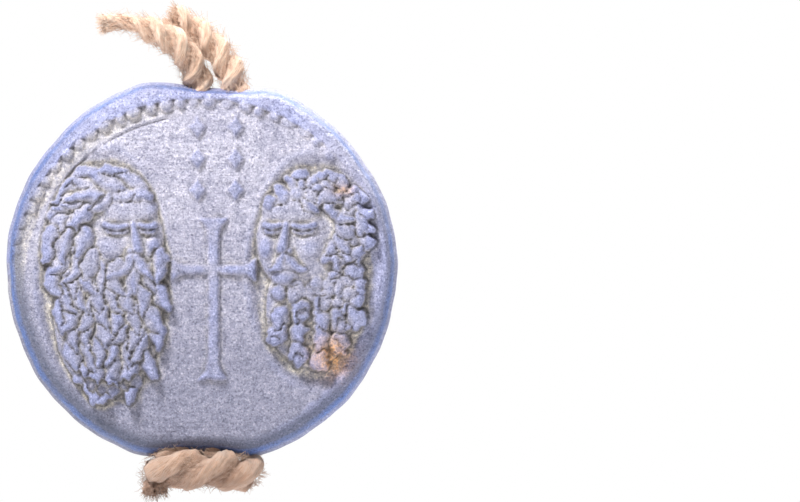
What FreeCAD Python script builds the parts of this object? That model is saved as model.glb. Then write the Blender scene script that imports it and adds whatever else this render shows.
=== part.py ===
import FreeCAD, Part
import Sketcher
import math
import os

# A struck lead seal on a hemp cord, upright as it hangs: obverse towards -Y, reverse
# towards +Y. The origin is where the cord leaves the top of the lead, at mid-thickness.
# Two lead halves are pressed together over two cord strands that run in channels.

Vector = FreeCAD.Vector

# Driving sizes in millimetres and degrees. A position on a die is measured from the
# centre of the disc, +X to the obverse's right and up positive.
driving_sizes = [
    # lead blank
    ("disc_radius", 19.15),
    ("front_thickness", 2.2),
    ("back_thickness", 2.2),
    ("rim_chamfer", 0.65),
    ("corner_round", 5),
    ("top_flat_start", 68.6),
    ("top_flat_end", 105.1),
    ("bottom_flat_start", 253),
    ("bottom_flat_end", 285.1),
    # cord and its channels
    ("cord_radius", 1.4),
    ("cord_spacing", 3.5),
    ("cord_shift", 1.7),
    ("cord_drift", 2.05),
    ("pressed_half_width", 1.4),
    ("pressed_half_depth", 1.15),
    ("channel_clearance", 0.05),
    ("mouth_depth", 2.2),
    # beaded borders
    ("bead_radius", 0.6),
    ("bead_height", 0.35),
    ("bead_pitch", 5.1),
    ("front_die_shift", -0.15),
    ("front_die_drop", 1.9),
    ("front_border_inset", 1.85),
    ("front_bead_start", 48),
    ("front_bead_count", 21),
    ("back_die_shift", 0.55),
    ("back_die_drop", 2.25),
    ("back_border_inset", 2.35),
    ("back_bead_start", 66),
    ("back_bead_count", 12),
    ("border_line_inset", 1.1),
    ("border_line_width", 0.4),
    ("front_line_turn", 33),
    ("front_line_sweep", 54),
    ("back_line_turn", 0),
    ("back_line_sweep", 124),
    # sunken ovals behind the heads
    ("niche_depth", 0.25),
    ("left_niche_place", -9.5),
    ("left_niche_level", -1.2),
    ("left_niche_half_width", 6.1),
    ("left_niche_half_height", 12.3),
    ("right_niche_place", 11.3),
    ("right_niche_level", -0.3),
    ("right_niche_half_width", 6.3),
    ("right_niche_half_height", 11.2),
    # the two heads: a skull, a face that turns towards the cross and a beard
    ("left_head_place", -9.5),
    ("left_head_level", 3.4),
    ("right_head_place", 11.6),
    ("right_head_level", 3.5),
    ("head_half_width", 5.0),
    ("head_half_height", 6.0),
    ("head_relief", 0.75),
    ("face_turn", 1.9),
    ("face_drop", 1.2),
    ("face_half_width", 3.1),
    ("face_half_height", 4.6),
    ("face_relief", 1.25),
    ("feature_relief", 0.3),
    ("eye_line", 0.3),
    ("eye_spacing", 1.55),
    ("eye_width", 1.3),
    ("eye_height", 0.55),
    ("nose_width", 1.1),
    ("nose_length", 2.9),
    ("brow_width", 4.2),
    ("brow_height", 0.5),
    ("mouth_drop", 3.5),
    ("mouth_width", 1.5),
    ("mouth_height", 0.4),
    ("moustache_width", 3.4),
    ("moustache_height", 1.1),
    ("crown_ease", 0.6),
    # long beard of drawn-out locks, on the left head
    ("long_beard_drop", 9.0),
    ("long_beard_half_width", 4.8),
    ("long_beard_half_height", 6.6),
    ("beard_relief", 0.8),
    ("lock_width", 1.6),
    ("lock_length", 2.5),
    ("lock_relief", 0.3),
    ("lock_pitch", 1.95),
    ("lock_row_pitch", 1.8),
    ("wave_width", 1.05),
    ("wave_length", 2.4),
    ("outer_wave_reach", 5.2),
    ("outer_wave_count", 12),
    ("outer_wave_pitch", 15),
    ("outer_wave_start", -50),
    ("inner_wave_reach", 3.2),
    ("inner_wave_count", 6),
    ("inner_wave_pitch", 22),
    ("inner_wave_start", 10),
    # short beard and short hair of round curls, on the right head
    ("short_beard_drop", 8.2),
    ("short_beard_half_width", 4.0),
    ("short_beard_half_height", 5.0),
    ("curl_radius", 0.75),
    ("curl_pitch", 1.85),
    ("outer_curl_reach", 5.4),
    ("outer_curl_count", 11),
    ("outer_curl_step", 18),
    ("outer_curl_start", -75),
    ("inner_curl_reach", 3.7),
    ("inner_curl_count", 7),
    ("inner_curl_step", 26),
    ("inner_curl_start", -65),
    # cross between the heads
    ("cross_place", 1.25),
    ("cross_top", 5.3),
    ("cross_foot", 10.9),
    ("cross_arm_level", 0.05),
    ("cross_arm_reach", 4.3),
    ("cross_bar_width", 1.3),
    ("cross_flare_width", 3.1),
    ("cross_arm_width", 1.05),
    ("cross_arm_flare", 2.2),
    ("cross_flare_length", 1.5),
    ("cross_relief", 0.5),
    # small lozenges over the cross
    ("lozenge_level", 14.3),
    ("lozenge_place", 1.55),
    ("lozenge_column_pitch", 3.8),
    ("lozenge_row_pitch", 3.15),
    ("lozenge_width", 1.9),
    ("lozenge_height", 2.3),
    ("front_mark_relief", 0.35),
    # reverse: small cross, stars and four rows of four-leaved ornaments
    ("back_relief", 0.45),
    ("small_cross_place", 0.05),
    ("small_cross_level", 14.65),
    ("small_cross_reach", 2.1),
    ("small_cross_neck", 0.3),
    ("small_cross_flare", 1.25),
    ("small_star_place", 4.25),
    ("small_star_radius", 1.1),
    ("side_star_place", 13.6),
    ("side_star_level", -5.3),
    ("star_radius", 1.6),
    ("low_star_place", 10.1),
    ("low_star_level", -12.6),
    ("star_waist", 0.45),
    ("row_level", 9.05),
    ("row_pitch", 7.4),
    ("leaf_reach", 2.9),
    ("leaf_width", 1.9),
    ("leaf_gap", 0.75),
    ("centre_pellet_radius", 0.5),
    ("first_row_shift", -0.6),
    ("first_row_pitch", 6.1),
    ("second_row_shift", 0.6),
    ("second_row_pitch", 7.1),
    ("third_row_shift", 0.6),
    ("third_row_pitch", 6.1),
    ("fourth_row_shift", -0.4),
    ("fourth_row_pitch", 6.1),
]

# Each strand's place in steps of the spacing, and the facets of round outlines.
strand_sides = (-0.5, 0.5)
cord_sides = 12
pellet_sides = 8
mass_sides = 16
niche_sides = 24

document = FreeCAD.newDocument("lead_seal")
sheet = document.addObject("Spreadsheet::Sheet", "Sizes")
for line, (alias, value) in enumerate(driving_sizes, start=1):
    sheet.set(f"A{line}", alias.replace("_", " "))
    sheet.set(f"B{line}", str(value))
    sheet.setAlias(f"B{line}", alias)
document.recompute()


def size(alias):
    """The number in one cell of the sheet."""
    return float(getattr(sheet, alias))


# Expressions for the sizes that follow from the driving ones.
half_flat = "(Sizes.top_flat_end - Sizes.top_flat_start) / 2"
mid_flat = "(Sizes.top_flat_end + Sizes.top_flat_start) / 2"
centre_drop = f"(Sizes.disc_radius * cos({half_flat} * 1 deg) / sin({mid_flat} * 1 deg))"
foot_reach = (
    "(Sizes.disc_radius * cos((Sizes.bottom_flat_end - Sizes.bottom_flat_start)"
    " / 2 * 1 deg))"
)
channel_drop = f"({centre_drop} + {foot_reach})"
channel_slant = f"atan2(Sizes.cord_drift; {channel_drop})"

# Pellets and hair start below the niches' floor, so that they are one with the lead.
relief_root = "(-2 * Sizes.niche_depth)"


def plane_of(body, role):
    return [plane for plane in body.Origin.OriginFeatures if plane.Role == role][0]


def new_sketch(body, name, role, x="0", y="0", z="0"):
    """A sketch on one of the body's own planes, moved along the plane's axes."""
    sketch = body.newObject("Sketcher::SketchObject", name)
    sketch.AttachmentSupport = [(plane_of(body, role), "")]
    sketch.MapMode = "FlatFace"
    sketch.setExpression(".AttachmentOffset.Base.x", x)
    sketch.setExpression(".AttachmentOffset.Base.y", y)
    sketch.setExpression(".AttachmentOffset.Base.z", z)
    return sketch


def turn_sketch(sketch, axis, angle):
    """Turn a sketch about one of its own axes, by an expression in degrees."""
    placement = sketch.AttachmentOffset
    placement.Rotation = FreeCAD.Rotation(axis, 1)
    sketch.AttachmentOffset = placement
    sketch.setExpression(".AttachmentOffset.Rotation.Angle", angle)


def bind(sketch, kind, places, expression, value=1.0):
    """Add one constraint, drawn at a first value, and drive it by an expression."""
    number = sketch.addConstraint(Sketcher.Constraint(kind, *places, value))
    sketch.setExpression(f"Constraints[{number}]", expression)


def draw_outline(sketch, corners):
    """A closed outline of straight edges, each corner given by two expressions."""
    count = len(corners)
    spots = [
        Vector(math.cos(2 * math.pi * k / count), math.sin(2 * math.pi * k / count), 0)
        for k in range(count)
    ]
    first = sketch.GeometryCount
    for k in range(count):
        edge = Part.LineSegment(spots[k], spots[(k + 1) % count])
        sketch.addGeometry(edge, False)
    for k, (x, y) in enumerate(corners):
        following = first + (k + 1) % count
        sketch.addConstraint(Sketcher.Constraint("Coincident", first + k, 2, following, 1))
        bind(sketch, "DistanceX", (-1, 1, first + k, 1), x)
        bind(sketch, "DistanceY", (-1, 1, first + k, 1), y)


def draw_facets(sketch, x, y, half_width, half_height, sides):
    """A many-sided round or oval outline with its corners on the given radii."""
    corners = []
    for k in range(sides):
        turn = f"{360 / sides * (k + 0.5)} * 1 deg"
        corners.append((f"{x} + {half_width} * cos({turn})", f"{y} + {half_height} * sin({turn})"))
    draw_outline(sketch, corners)


class LeadHalf:
    """One half of the blank, and groups of relief that are struck up from it."""

    def __init__(self, label, thickness, facing):
        self.label = label
        self.thickness = thickness
        self.facing = facing
        self.groups = []

    def begin(self, name):
        """Open a body for the blank or for one group of relief."""
        self.body = document.addObject("PartDesign::Body", f"{self.label}_{name}_group")
        self.body.AllowCompound = True
        self.groups.append(self.body)

    def join(self):
        """The finished half: the blank and all its relief as one solid."""
        fused = document.addObject("Part::MultiFuse", self.label)
        fused.Label = self.label
        fused.Shapes = self.groups
        return fused

    def level(self, height):
        """Offset of a plane that lies a height above this half's field."""
        sign = "" if self.facing == "front" else "-"
        return f"{sign}({self.thickness} + {height})"

    def face_sketch(self, name, height, x="0", y=f"-{centre_drop}", turn="0"):
        """A sketch parallel to the field, moved to a place and turned there."""
        sketch = new_sketch(
            self.body, f"{self.label}_{name}", "XZ_Plane", x, y, self.level(height)
        )
        turn_sketch(sketch, Vector(0, 0, 1), turn)
        return sketch

    def face_y(self, height):
        """Where a plane that lies a height above the field crosses Y."""
        sign = -1 if self.facing == "front" else 1
        return sign * (size(self.thickness.split(".")[1]) + height)

    def edges_at(self, y):
        """Names of the edges that lie in one plane parallel to the field."""
        return [
            f"Edge{k}"
            for k, edge in enumerate(self.body.Shape.Edges, start=1)
            if abs(edge.BoundBox.YMin - y) < 1e-6 and abs(edge.BoundBox.YMax - y) < 1e-6
        ]

    def add(self, kind, name):
        """A new feature at the tip of the body."""
        feature = self.body.newObject(f"PartDesign::{kind}", f"{self.label}_{name}")
        self.body.Tip = feature
        return feature

    def pad(self, name, sketch, length):
        feature = self.add("Pad", name)
        feature.Profile = sketch
        feature.setExpression("Length", length)
        feature.Reversed = self.facing == "back"
        return feature

    def pocket(self, name, sketch, depth=None, flip=False):
        feature = self.add("Pocket", name)
        feature.Profile = sketch
        if depth is None:
            feature.Type = "ThroughAll"
        else:
            feature.setExpression("Length", depth)
        feature.Reversed = flip
        return feature

    def ease_edges(self, name, kind, edges, length_name, length):
        """A fillet or a chamfer on edges of the solid so far."""
        base = self.body.Tip
        feature = self.add(kind, name)
        feature.Base = (base, edges)
        feature.setExpression(length_name, length)

    def row(self, name, feature, sketch, pitch, count):
        """Copies of a feature along the sketch's x."""
        pattern = self.add("LinearPattern", name)
        pattern.Originals = [feature]
        pattern.Direction = (sketch, ["H_Axis"])
        pattern.setExpression("Length", f"{pitch} * {count - 1}")
        pattern.Occurrences = count

    def grid(self, name, feature, sketch, pitches, counts):
        """Copies of a feature along the sketch's x and down its y."""
        pattern = self.add("MultiTransform", name)
        pattern.Originals = [feature]
        steps = []
        for axis, pitch, count in zip(("H_Axis", "V_Axis"), pitches, counts):
            step = self.body.newObject("PartDesign::LinearPattern", f"{name}_{axis}")
            step.Direction = (sketch, [axis])
            step.setExpression("Length", f"{pitch} * {count - 1}")
            step.Occurrences = count
            step.Reversed = axis == "V_Axis"
            steps.append(step)
        pattern.Transformations = steps
        self.body.Tip = pattern

    def ring(self, name, feature, sketch, pitch, count):
        """Copies of a feature round the sketch's own centre."""
        pattern = self.add("PolarPattern", name)
        pattern.Originals = [feature]
        pattern.Axis = (sketch, ["N_Axis"])
        pattern.setExpression("Angle", f"{pitch} * ({count} - 1)")
        pattern.setExpression("Occurrences", count)

    def blank(self):
        """The disc of lead with its flats, its rounded rim and its cord channels."""
        sketch = new_sketch(
            self.body, f"{self.label}_outline", "XZ_Plane", "0", f"-{centre_drop}", "0"
        )
        draw_disc_outline(sketch)
        document.recompute()
        self.pad("disc", sketch, self.thickness)
        document.recompute()
        edges = self.body.Shape.Edges
        corners = [
            f"Edge{k}"
            for k, edge in enumerate(edges, start=1)
            if abs(edge.tangentAt(edge.FirstParameter).y) > 0.99
        ]
        self.ease_edges("corners", "Fillet", corners, "Radius", "Sizes.corner_round")
        document.recompute()
        rim = self.edges_at(self.face_y(0))
        self.ease_edges("rim", "Chamfer", rim, "Size", "Sizes.rim_chamfer")
        self.channels()

    def channels(self):
        """Two pressed channels side by side, with round mouths at top and bottom."""
        run = channel_sketch(self.body, f"{self.label}_channels", "0")
        for side in strand_sides:
            draw_facets(
                run,
                f"Sizes.cord_spacing * {side}",
                "0",
                "(Sizes.pressed_half_width + Sizes.channel_clearance)",
                "(Sizes.pressed_half_depth + Sizes.channel_clearance)",
                cord_sides,
            )
        self.pocket("channel_cut", run)
        mouths = channel_sketch(self.body, f"{self.label}_top_mouths", "-Sizes.mouth_depth")
        draw_mouths(mouths)
        self.pocket("top_mouth_cut", mouths, flip=True)
        drop = f"-{channel_drop} / cos({channel_slant}) + Sizes.mouth_depth"
        mouths = channel_sketch(self.body, f"{self.label}_foot_mouths", drop)
        draw_mouths(mouths)
        self.pocket("foot_mouth_cut", mouths)


def draw_mouths(sketch):
    """Two round mouths side by side, clear of the cord at any turn of its facets."""
    radius = f"((Sizes.cord_radius + Sizes.channel_clearance) / cos({180 / cord_sides} * 1 deg))"
    for side in strand_sides:
        draw_facets(sketch, f"Sizes.cord_spacing * {side}", "0", radius, radius, cord_sides)


def draw_disc_outline(sketch):
    """Two arcs of the disc, joined by the flat at the top and the one at the bottom."""
    corners = ["top_flat_start", "top_flat_end", "bottom_flat_start", "bottom_flat_end"]
    radius = size("disc_radius")
    spots = [
        Vector(
            radius * math.cos(math.radians(size(name))),
            radius * math.sin(math.radians(size(name))),
            0,
        )
        for name in corners
    ]
    axis = Vector(0, 0, 1)
    circle = Part.Circle(Vector(0, 0, 0), axis, radius)
    angles = [math.radians(size(name)) for name in corners]
    top = sketch.addGeometry(Part.LineSegment(spots[0], spots[1]), False)
    left = sketch.addGeometry(Part.ArcOfCircle(circle, angles[1], angles[2]), False)
    foot = sketch.addGeometry(Part.LineSegment(spots[2], spots[3]), False)
    right = sketch.addGeometry(
        Part.ArcOfCircle(circle, angles[3], angles[0] + 2 * math.pi), False
    )
    for first, end, second, start in (
        (top, 2, left, 1),
        (left, 2, foot, 1),
        (foot, 2, right, 1),
        (right, 2, top, 1),
    ):
        sketch.addConstraint(Sketcher.Constraint("Coincident", first, end, second, start))
    for arc in (left, right):
        sketch.addConstraint(Sketcher.Constraint("Coincident", arc, 3, -1, 1))
    bind(sketch, "Radius", (left,), "Sizes.disc_radius", radius)
    places = ((top, 1, 0), (top, 2, 1), (foot, 1, 2), (foot, 2, 3))
    for line, end, number in places:
        across = f"Sizes.disc_radius * cos(Sizes.{corners[number]} * 1 deg)"
        bind(sketch, "DistanceX", (-1, 1, line, end), across, spots[number].x)


def channel_sketch(body, name, lift):
    """A sketch square to the channels, whose centre lies between the two strands."""
    slope = f"sin({channel_slant})"
    sketch = new_sketch(
        body,
        name,
        "XY_Plane",
        f"Sizes.cord_shift + ({lift}) * {slope}",
        "0",
        f"({lift}) * cos({channel_slant})",
    )
    turn_sketch(sketch, Vector(0, 1, 0), channel_slant)
    return sketch


def sink_niches(half):
    """Sunken ovals that the heads stand in."""
    for side in ("left", "right"):
        centre_y = f"-{centre_drop} + Sizes.{side}_niche_level"
        sketch = half.face_sketch(f"{side}_niche", "0", f"Sizes.{side}_niche_place", centre_y)
        width, height = f"Sizes.{side}_niche_half_width", f"Sizes.{side}_niche_half_height"
        draw_facets(sketch, "0", "0", width, height, niche_sides)
        half.pocket(f"{side}_niche_cut", sketch, "Sizes.niche_depth")


# Lead halves
obverse = LeadHalf("obverse_lead_half", "Sizes.front_thickness", "front")
reverse = LeadHalf("reverse_lead_half", "Sizes.back_thickness", "back")
for half in (obverse, reverse):
    half.begin("blank")
    half.blank()
    if half is obverse:
        sink_niches(half)


def strike_beads(half, die_shift, die_drop, inset, start, count):
    """An arc of beads on the die's own circle, which sits off the disc's centre."""
    half.begin("border")
    radius = f"(Sizes.disc_radius + Sizes.{die_drop} - Sizes.{inset})"
    across = f"{radius} * cos(Sizes.{start} * 1 deg)"
    up = f"{radius} * sin(Sizes.{start} * 1 deg)"
    centre_y = f"-{centre_drop} - Sizes.{die_drop}"
    sketch = half.face_sketch("bead", relief_root, f"Sizes.{die_shift}", centre_y)
    draw_facets(sketch, across, up, "Sizes.bead_radius", "Sizes.bead_radius", pellet_sides)
    bead = half.pad("bead_pad", sketch, f"Sizes.bead_height - ({relief_root})")
    half.ring("beads", bead, sketch, "Sizes.bead_pitch", f"Sizes.{count}")


strike_beads(
    obverse,
    "front_die_shift",
    "front_die_drop",
    "front_border_inset",
    "front_bead_start",
    "front_bead_count",
)
strike_beads(
    reverse,
    "back_die_shift",
    "back_die_drop",
    "back_border_inset",
    "back_bead_start",
    "back_bead_count",
)


def strike_border_line(half, die, inset):
    """A thin raised line inside the beads, turned about the die's centre."""
    reach = (
        f"(Sizes.disc_radius + Sizes.{die}_die_drop - Sizes.{inset}"
        " - Sizes.border_line_inset)"
    )
    sketch = new_sketch(
        half.body,
        f"{die}_line_section",
        "YZ_Plane",
        "0",
        f"-{centre_drop} - Sizes.{die}_die_drop",
        f"Sizes.{die}_die_shift",
    )
    turn_sketch(sketch, Vector(1, 0, 0), f"Sizes.{die}_line_turn")
    sign = "-" if half.facing == "front" else ""
    low = f"{sign}({half.thickness} + {relief_root})"
    high = f"{sign}({half.thickness} + Sizes.bead_height)"
    inner = f"{reach} - Sizes.border_line_width"
    draw_outline(sketch, [(low, inner), (high, inner), (high, reach), (low, reach)])
    line = half.add("Revolution", f"{die}_line")
    line.Profile = sketch
    line.ReferenceAxis = (sketch, ["H_Axis"])
    line.setExpression("Angle", f"Sizes.{die}_line_sweep")
    line.Midplane = True


strike_border_line(obverse, "front", "front_border_inset")
strike_border_line(reverse, "back", "back_border_inset")


# Obverse relief
def raise_mass(half, name, x, y, half_width, half_height, relief):
    """A rounded mass that the locks lie on: an oval with its top edge eased off."""
    half.begin(name)
    sketch = half.face_sketch(f"{name}_outline", relief_root, x, f"-{centre_drop} + {y}")
    draw_facets(sketch, "0", "0", half_width, half_height, mass_sides)
    half.pad(f"{name}_pad", sketch, f"{relief} - {relief_root}")
    document.recompute()
    top = half.face_y(size(relief.split(".")[1]))
    half.ease_edges(f"{name}_crown", "Chamfer", half.edges_at(top), "Size", "Sizes.crown_ease")


def strike_head(half, side, towards_cross):
    """Skull and face, turned to the cross."""
    place = f"Sizes.{side}_head_place"
    level = f"Sizes.{side}_head_level"
    width, height = "Sizes.head_half_width", "Sizes.head_half_height"
    raise_mass(half, f"{side}_skull", place, level, width, height, "Sizes.head_relief")
    face_x = f"({place} + {towards_cross} * Sizes.face_turn)"
    face_y = f"({level} - Sizes.face_drop)"
    width, height = "Sizes.face_half_width", "Sizes.face_half_height"
    raise_mass(half, f"{side}_face", face_x, face_y, width, height, "Sizes.face_relief")


def strike_features(half, side, towards_cross):
    """A calm brow with nose, eyes and mouth on plain thirds, in one step on the face."""
    half.begin(f"{side}_features")
    face_x = f"(Sizes.{side}_head_place + {towards_cross} * Sizes.face_turn)"
    face_y = f"(Sizes.{side}_head_level - Sizes.face_drop)"
    sketch = half.face_sketch(f"{side}_features", "Sizes.head_relief")
    eye_y = f"({face_y} + Sizes.eye_line)"
    brow_y = f"({eye_y} + Sizes.eye_height)"
    brow_top = f"{brow_y} + Sizes.brow_height"
    nose_half = "Sizes.nose_width / 2"
    draw_outline(
        sketch,
        [
            (f"{face_x} - Sizes.brow_width / 2", brow_y),
            (f"{face_x} - Sizes.brow_width / 4", brow_top),
            (face_x, f"{brow_y} + Sizes.brow_height / 2"),
            (f"{face_x} + Sizes.brow_width / 4", brow_top),
            (f"{face_x} + Sizes.brow_width / 2", brow_y),
            (f"{face_x} + Sizes.nose_width / 4", brow_y),
            (f"{face_x} + {nose_half}", f"{brow_y} - Sizes.nose_length"),
            (f"{face_x} - {nose_half}", f"{brow_y} - Sizes.nose_length"),
            (f"{face_x} - Sizes.nose_width / 4", brow_y),
        ],
    )
    for eye_side in ("-", "+"):
        eye_x = f"({face_x} {eye_side} Sizes.eye_spacing)"
        draw_outline(
            sketch,
            [
                (f"{eye_x} - Sizes.eye_width / 2", eye_y),
                (eye_x, f"{eye_y} + Sizes.eye_height / 2"),
                (f"{eye_x} + Sizes.eye_width / 2", eye_y),
                (eye_x, f"{eye_y} - Sizes.eye_height / 2"),
            ],
        )
    mouth_y = f"({eye_y} - Sizes.mouth_drop)"
    draw_outline(
        sketch,
        [
            (f"{face_x} - Sizes.mouth_width / 2", mouth_y),
            (face_x, f"{mouth_y} + Sizes.mouth_height / 2"),
            (f"{face_x} + Sizes.mouth_width / 2", mouth_y),
            (face_x, f"{mouth_y} - Sizes.mouth_height / 2"),
        ],
    )
    lip_y = f"({mouth_y} + Sizes.mouth_height)"
    draw_outline(
        sketch,
        [
            (f"{face_x} - Sizes.moustache_width / 2", f"{lip_y} - Sizes.moustache_height"),
            (f"{face_x} - Sizes.moustache_width / 4", lip_y),
            (face_x, lip_y),
            (f"{face_x} + Sizes.moustache_width / 4", lip_y),
            (f"{face_x} + Sizes.moustache_width / 2", f"{lip_y} - Sizes.moustache_height"),
            (f"{face_x} + Sizes.moustache_width / 4", f"{lip_y} + Sizes.moustache_height / 3"),
            (f"{face_x} - Sizes.moustache_width / 4", f"{lip_y} + Sizes.moustache_height / 3"),
        ],
    )
    rise = "Sizes.face_relief - Sizes.head_relief + Sizes.feature_relief"
    half.pad(f"{side}_feature_step", sketch, rise)


def lock_corners(x, y, width, length):
    """Corners of a lock of hair: a blunt root above and a point below."""
    return [
        (f"{x} - {width} / 4", f"{y} + {length} / 2"),
        (f"{x} + {width} / 4", f"{y} + {length} / 2"),
        (f"{x} + {width} / 2", f"{y}"),
        (f"{x}", f"{y} - {length} / 2"),
        (f"{x} - {width} / 2", f"{y}"),
    ]


def strike_lock(half, name, x, y, width, length, top, centre=("0", "0", "0")):
    """One lock; returns the pad and its sketch for a pattern."""
    shift = (centre[0], f"-{centre_drop} + {centre[1]}", centre[2])
    sketch = half.face_sketch(name, relief_root, *shift)
    draw_outline(sketch, lock_corners(x, y, width, length))
    return half.pad(f"{name}_pad", sketch, f"{top} - {relief_root}"), sketch


def strike_curl(half, name, x, y, top, centre=("0", "0", "0")):
    """One round curl; returns the pad and its sketch for a pattern."""
    shift = (centre[0], f"-{centre_drop} + {centre[1]}", centre[2])
    sketch = half.face_sketch(name, relief_root, *shift)
    draw_facets(sketch, x, y, "Sizes.curl_radius", "Sizes.curl_radius", pellet_sides)
    return half.pad(f"{name}_pad", sketch, f"{top} - {relief_root}"), sketch


def strike_long_beard(half):
    """The left head's beard: a long mass with rows of pointed locks."""
    place = "Sizes.left_head_place"
    level = "(Sizes.left_head_level - Sizes.long_beard_drop)"
    width, height = "Sizes.long_beard_half_width", "Sizes.long_beard_half_height"
    raise_mass(half, "long_beard", place, level, width, height, "Sizes.beard_relief")
    top = "Sizes.beard_relief + Sizes.lock_relief"
    for name, columns, rows, start in (
        ("beard_lock", 4, 3, 2.5),
        ("between_lock", 5, 2, 1.5),
        ("low_lock", 3, 1, -2.5),
        ("tip_lock", 2, 1, -3.4),
    ):
        half.begin(f"{name}_rows")
        x = f"{place} - Sizes.lock_pitch * {(columns - 1) / 2}"
        y = f"({level} + Sizes.lock_row_pitch * {start})"
        lock, sketch = strike_lock(
            half, name, x, y, "Sizes.lock_width", "Sizes.lock_length", top
        )
        if rows == 1:
            half.row(f"{name}_row", lock, sketch, "Sizes.lock_pitch", columns)
        else:
            pitches = ("Sizes.lock_pitch", "Sizes.lock_row_pitch * 2")
            half.grid(f"{name}_grid", lock, sketch, pitches, (columns, rows))


def strike_waves(half):
    """The left head's hair: drawn-out waves in two rings round the skull."""
    top = "Sizes.head_relief + Sizes.lock_relief"
    for ring in ("outer", "inner"):
        half.begin(f"{ring}_waves")
        lock, sketch = strike_lock(
            half,
            f"{ring}_wave",
            "0",
            f"Sizes.{ring}_wave_reach",
            "Sizes.wave_width",
            "Sizes.wave_length",
            top,
            ("Sizes.left_head_place", "Sizes.left_head_level", f"Sizes.{ring}_wave_start"),
        )
        pitch, count = f"Sizes.{ring}_wave_pitch", f"Sizes.{ring}_wave_count"
        half.ring(f"{ring}_waves", lock, sketch, pitch, count)


def strike_short_beard(half):
    """The right head's beard: a squarer mass with columns of round curls."""
    place = "Sizes.right_head_place"
    level = "(Sizes.right_head_level - Sizes.short_beard_drop)"
    width, height = "Sizes.short_beard_half_width", "Sizes.short_beard_half_height"
    raise_mass(half, "short_beard", place, level, width, height, "Sizes.beard_relief")
    half.begin("beard_curls")
    top = "Sizes.beard_relief + Sizes.lock_relief"
    columns, rows = 4, 4
    x = f"({place} - Sizes.curl_pitch * {(columns - 1) / 2})"
    y = f"({level} + Sizes.curl_pitch * 1.3)"
    curl, sketch = strike_curl(half, "beard_curl", x, y, top)
    pitches = ("Sizes.curl_pitch", "Sizes.curl_pitch")
    half.grid("beard_curl_grid", curl, sketch, pitches, (columns, rows))


def strike_curls(half):
    """The right head's hair: two rings of round curls over the crown and the far side."""
    top = "Sizes.head_relief + Sizes.lock_relief"
    for ring in ("outer", "inner"):
        half.begin(f"{ring}_curls")
        curl, sketch = strike_curl(
            half,
            f"{ring}_curl",
            f"Sizes.{ring}_curl_reach",
            "0",
            top,
            ("Sizes.right_head_place", "Sizes.right_head_level", f"Sizes.{ring}_curl_start"),
        )
        step, count = f"Sizes.{ring}_curl_step", f"Sizes.{ring}_curl_count"
        half.ring(f"{ring}_curls", curl, sketch, step, count)


def bar_corners(reach_low, reach_high, bar, flare, flare_length, centre):
    """Half outline of a bar with flared ends, as (along, across) expressions."""
    return [
        (f"-{reach_low}", f"{centre} - {flare} / 2"),
        (f"-{reach_low} + {flare_length}", f"{centre} - {bar} / 2"),
        (f"{reach_high} - {flare_length}", f"{centre} - {bar} / 2"),
        (f"{reach_high}", f"{centre} - {flare} / 2"),
        (f"{reach_high}", f"{centre} + {flare} / 2"),
        (f"{reach_high} - {flare_length}", f"{centre} + {bar} / 2"),
        (f"-{reach_low} + {flare_length}", f"{centre} + {bar} / 2"),
        (f"-{reach_low}", f"{centre} + {flare} / 2"),
    ]


def strike_cross(half):
    """The tall cross between the heads, with flared ends."""
    half.begin("cross")
    shaft = half.face_sketch("cross_shaft", relief_root)
    corners = bar_corners(
        "Sizes.cross_foot",
        "Sizes.cross_top",
        "Sizes.cross_bar_width",
        "Sizes.cross_flare_width",
        "Sizes.cross_flare_length",
        "Sizes.cross_place",
    )
    draw_outline(shaft, [(across, along) for along, across in corners])
    rise = f"Sizes.cross_relief - {relief_root}"
    half.pad("cross_shaft_pad", shaft, rise)
    arms = half.face_sketch("cross_arms", relief_root, "Sizes.cross_place")
    corners = bar_corners(
        "Sizes.cross_arm_reach",
        "Sizes.cross_arm_reach",
        "Sizes.cross_arm_width",
        "Sizes.cross_arm_flare",
        "Sizes.cross_flare_length",
        "Sizes.cross_arm_level",
    )
    draw_outline(arms, corners)
    half.pad("cross_arm_pad", arms, rise)


def strike_lozenges(half):
    """Three rows of paired lozenges over the cross."""
    half.begin("lozenges")
    sketch = half.face_sketch("lozenges", relief_root)
    for row in range(3):
        y = f"(Sizes.lozenge_level - Sizes.lozenge_row_pitch * {row})"
        for side in ("-", "+"):
            x = f"(Sizes.lozenge_place {side} Sizes.lozenge_column_pitch / 2)"
            draw_outline(
                sketch,
                [
                    (f"{x} - Sizes.lozenge_width / 2", y),
                    (x, f"{y} + Sizes.lozenge_height / 2"),
                    (f"{x} + Sizes.lozenge_width / 2", y),
                    (x, f"{y} - Sizes.lozenge_height / 2"),
                ],
            )
    half.pad("lozenge_pad", sketch, f"Sizes.front_mark_relief - {relief_root}")


strike_head(obverse, "left", 1)
strike_head(obverse, "right", -1)
strike_long_beard(obverse)
strike_waves(obverse)
strike_short_beard(obverse)
strike_curls(obverse)
strike_features(obverse, "left", 1)
strike_features(obverse, "right", -1)
strike_cross(obverse)
strike_lozenges(obverse)


# Reverse relief
def star_corners(x, y, radius):
    """A six-pointed star."""
    corners = []
    for k in range(12):
        reach = radius if k % 2 == 0 else f"{radius} * Sizes.star_waist"
        turn = f"{30 * k + 90} * 1 deg"
        corners.append((f"{x} + {reach} * cos({turn})", f"{y} + {reach} * sin({turn})"))
    return corners


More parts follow.
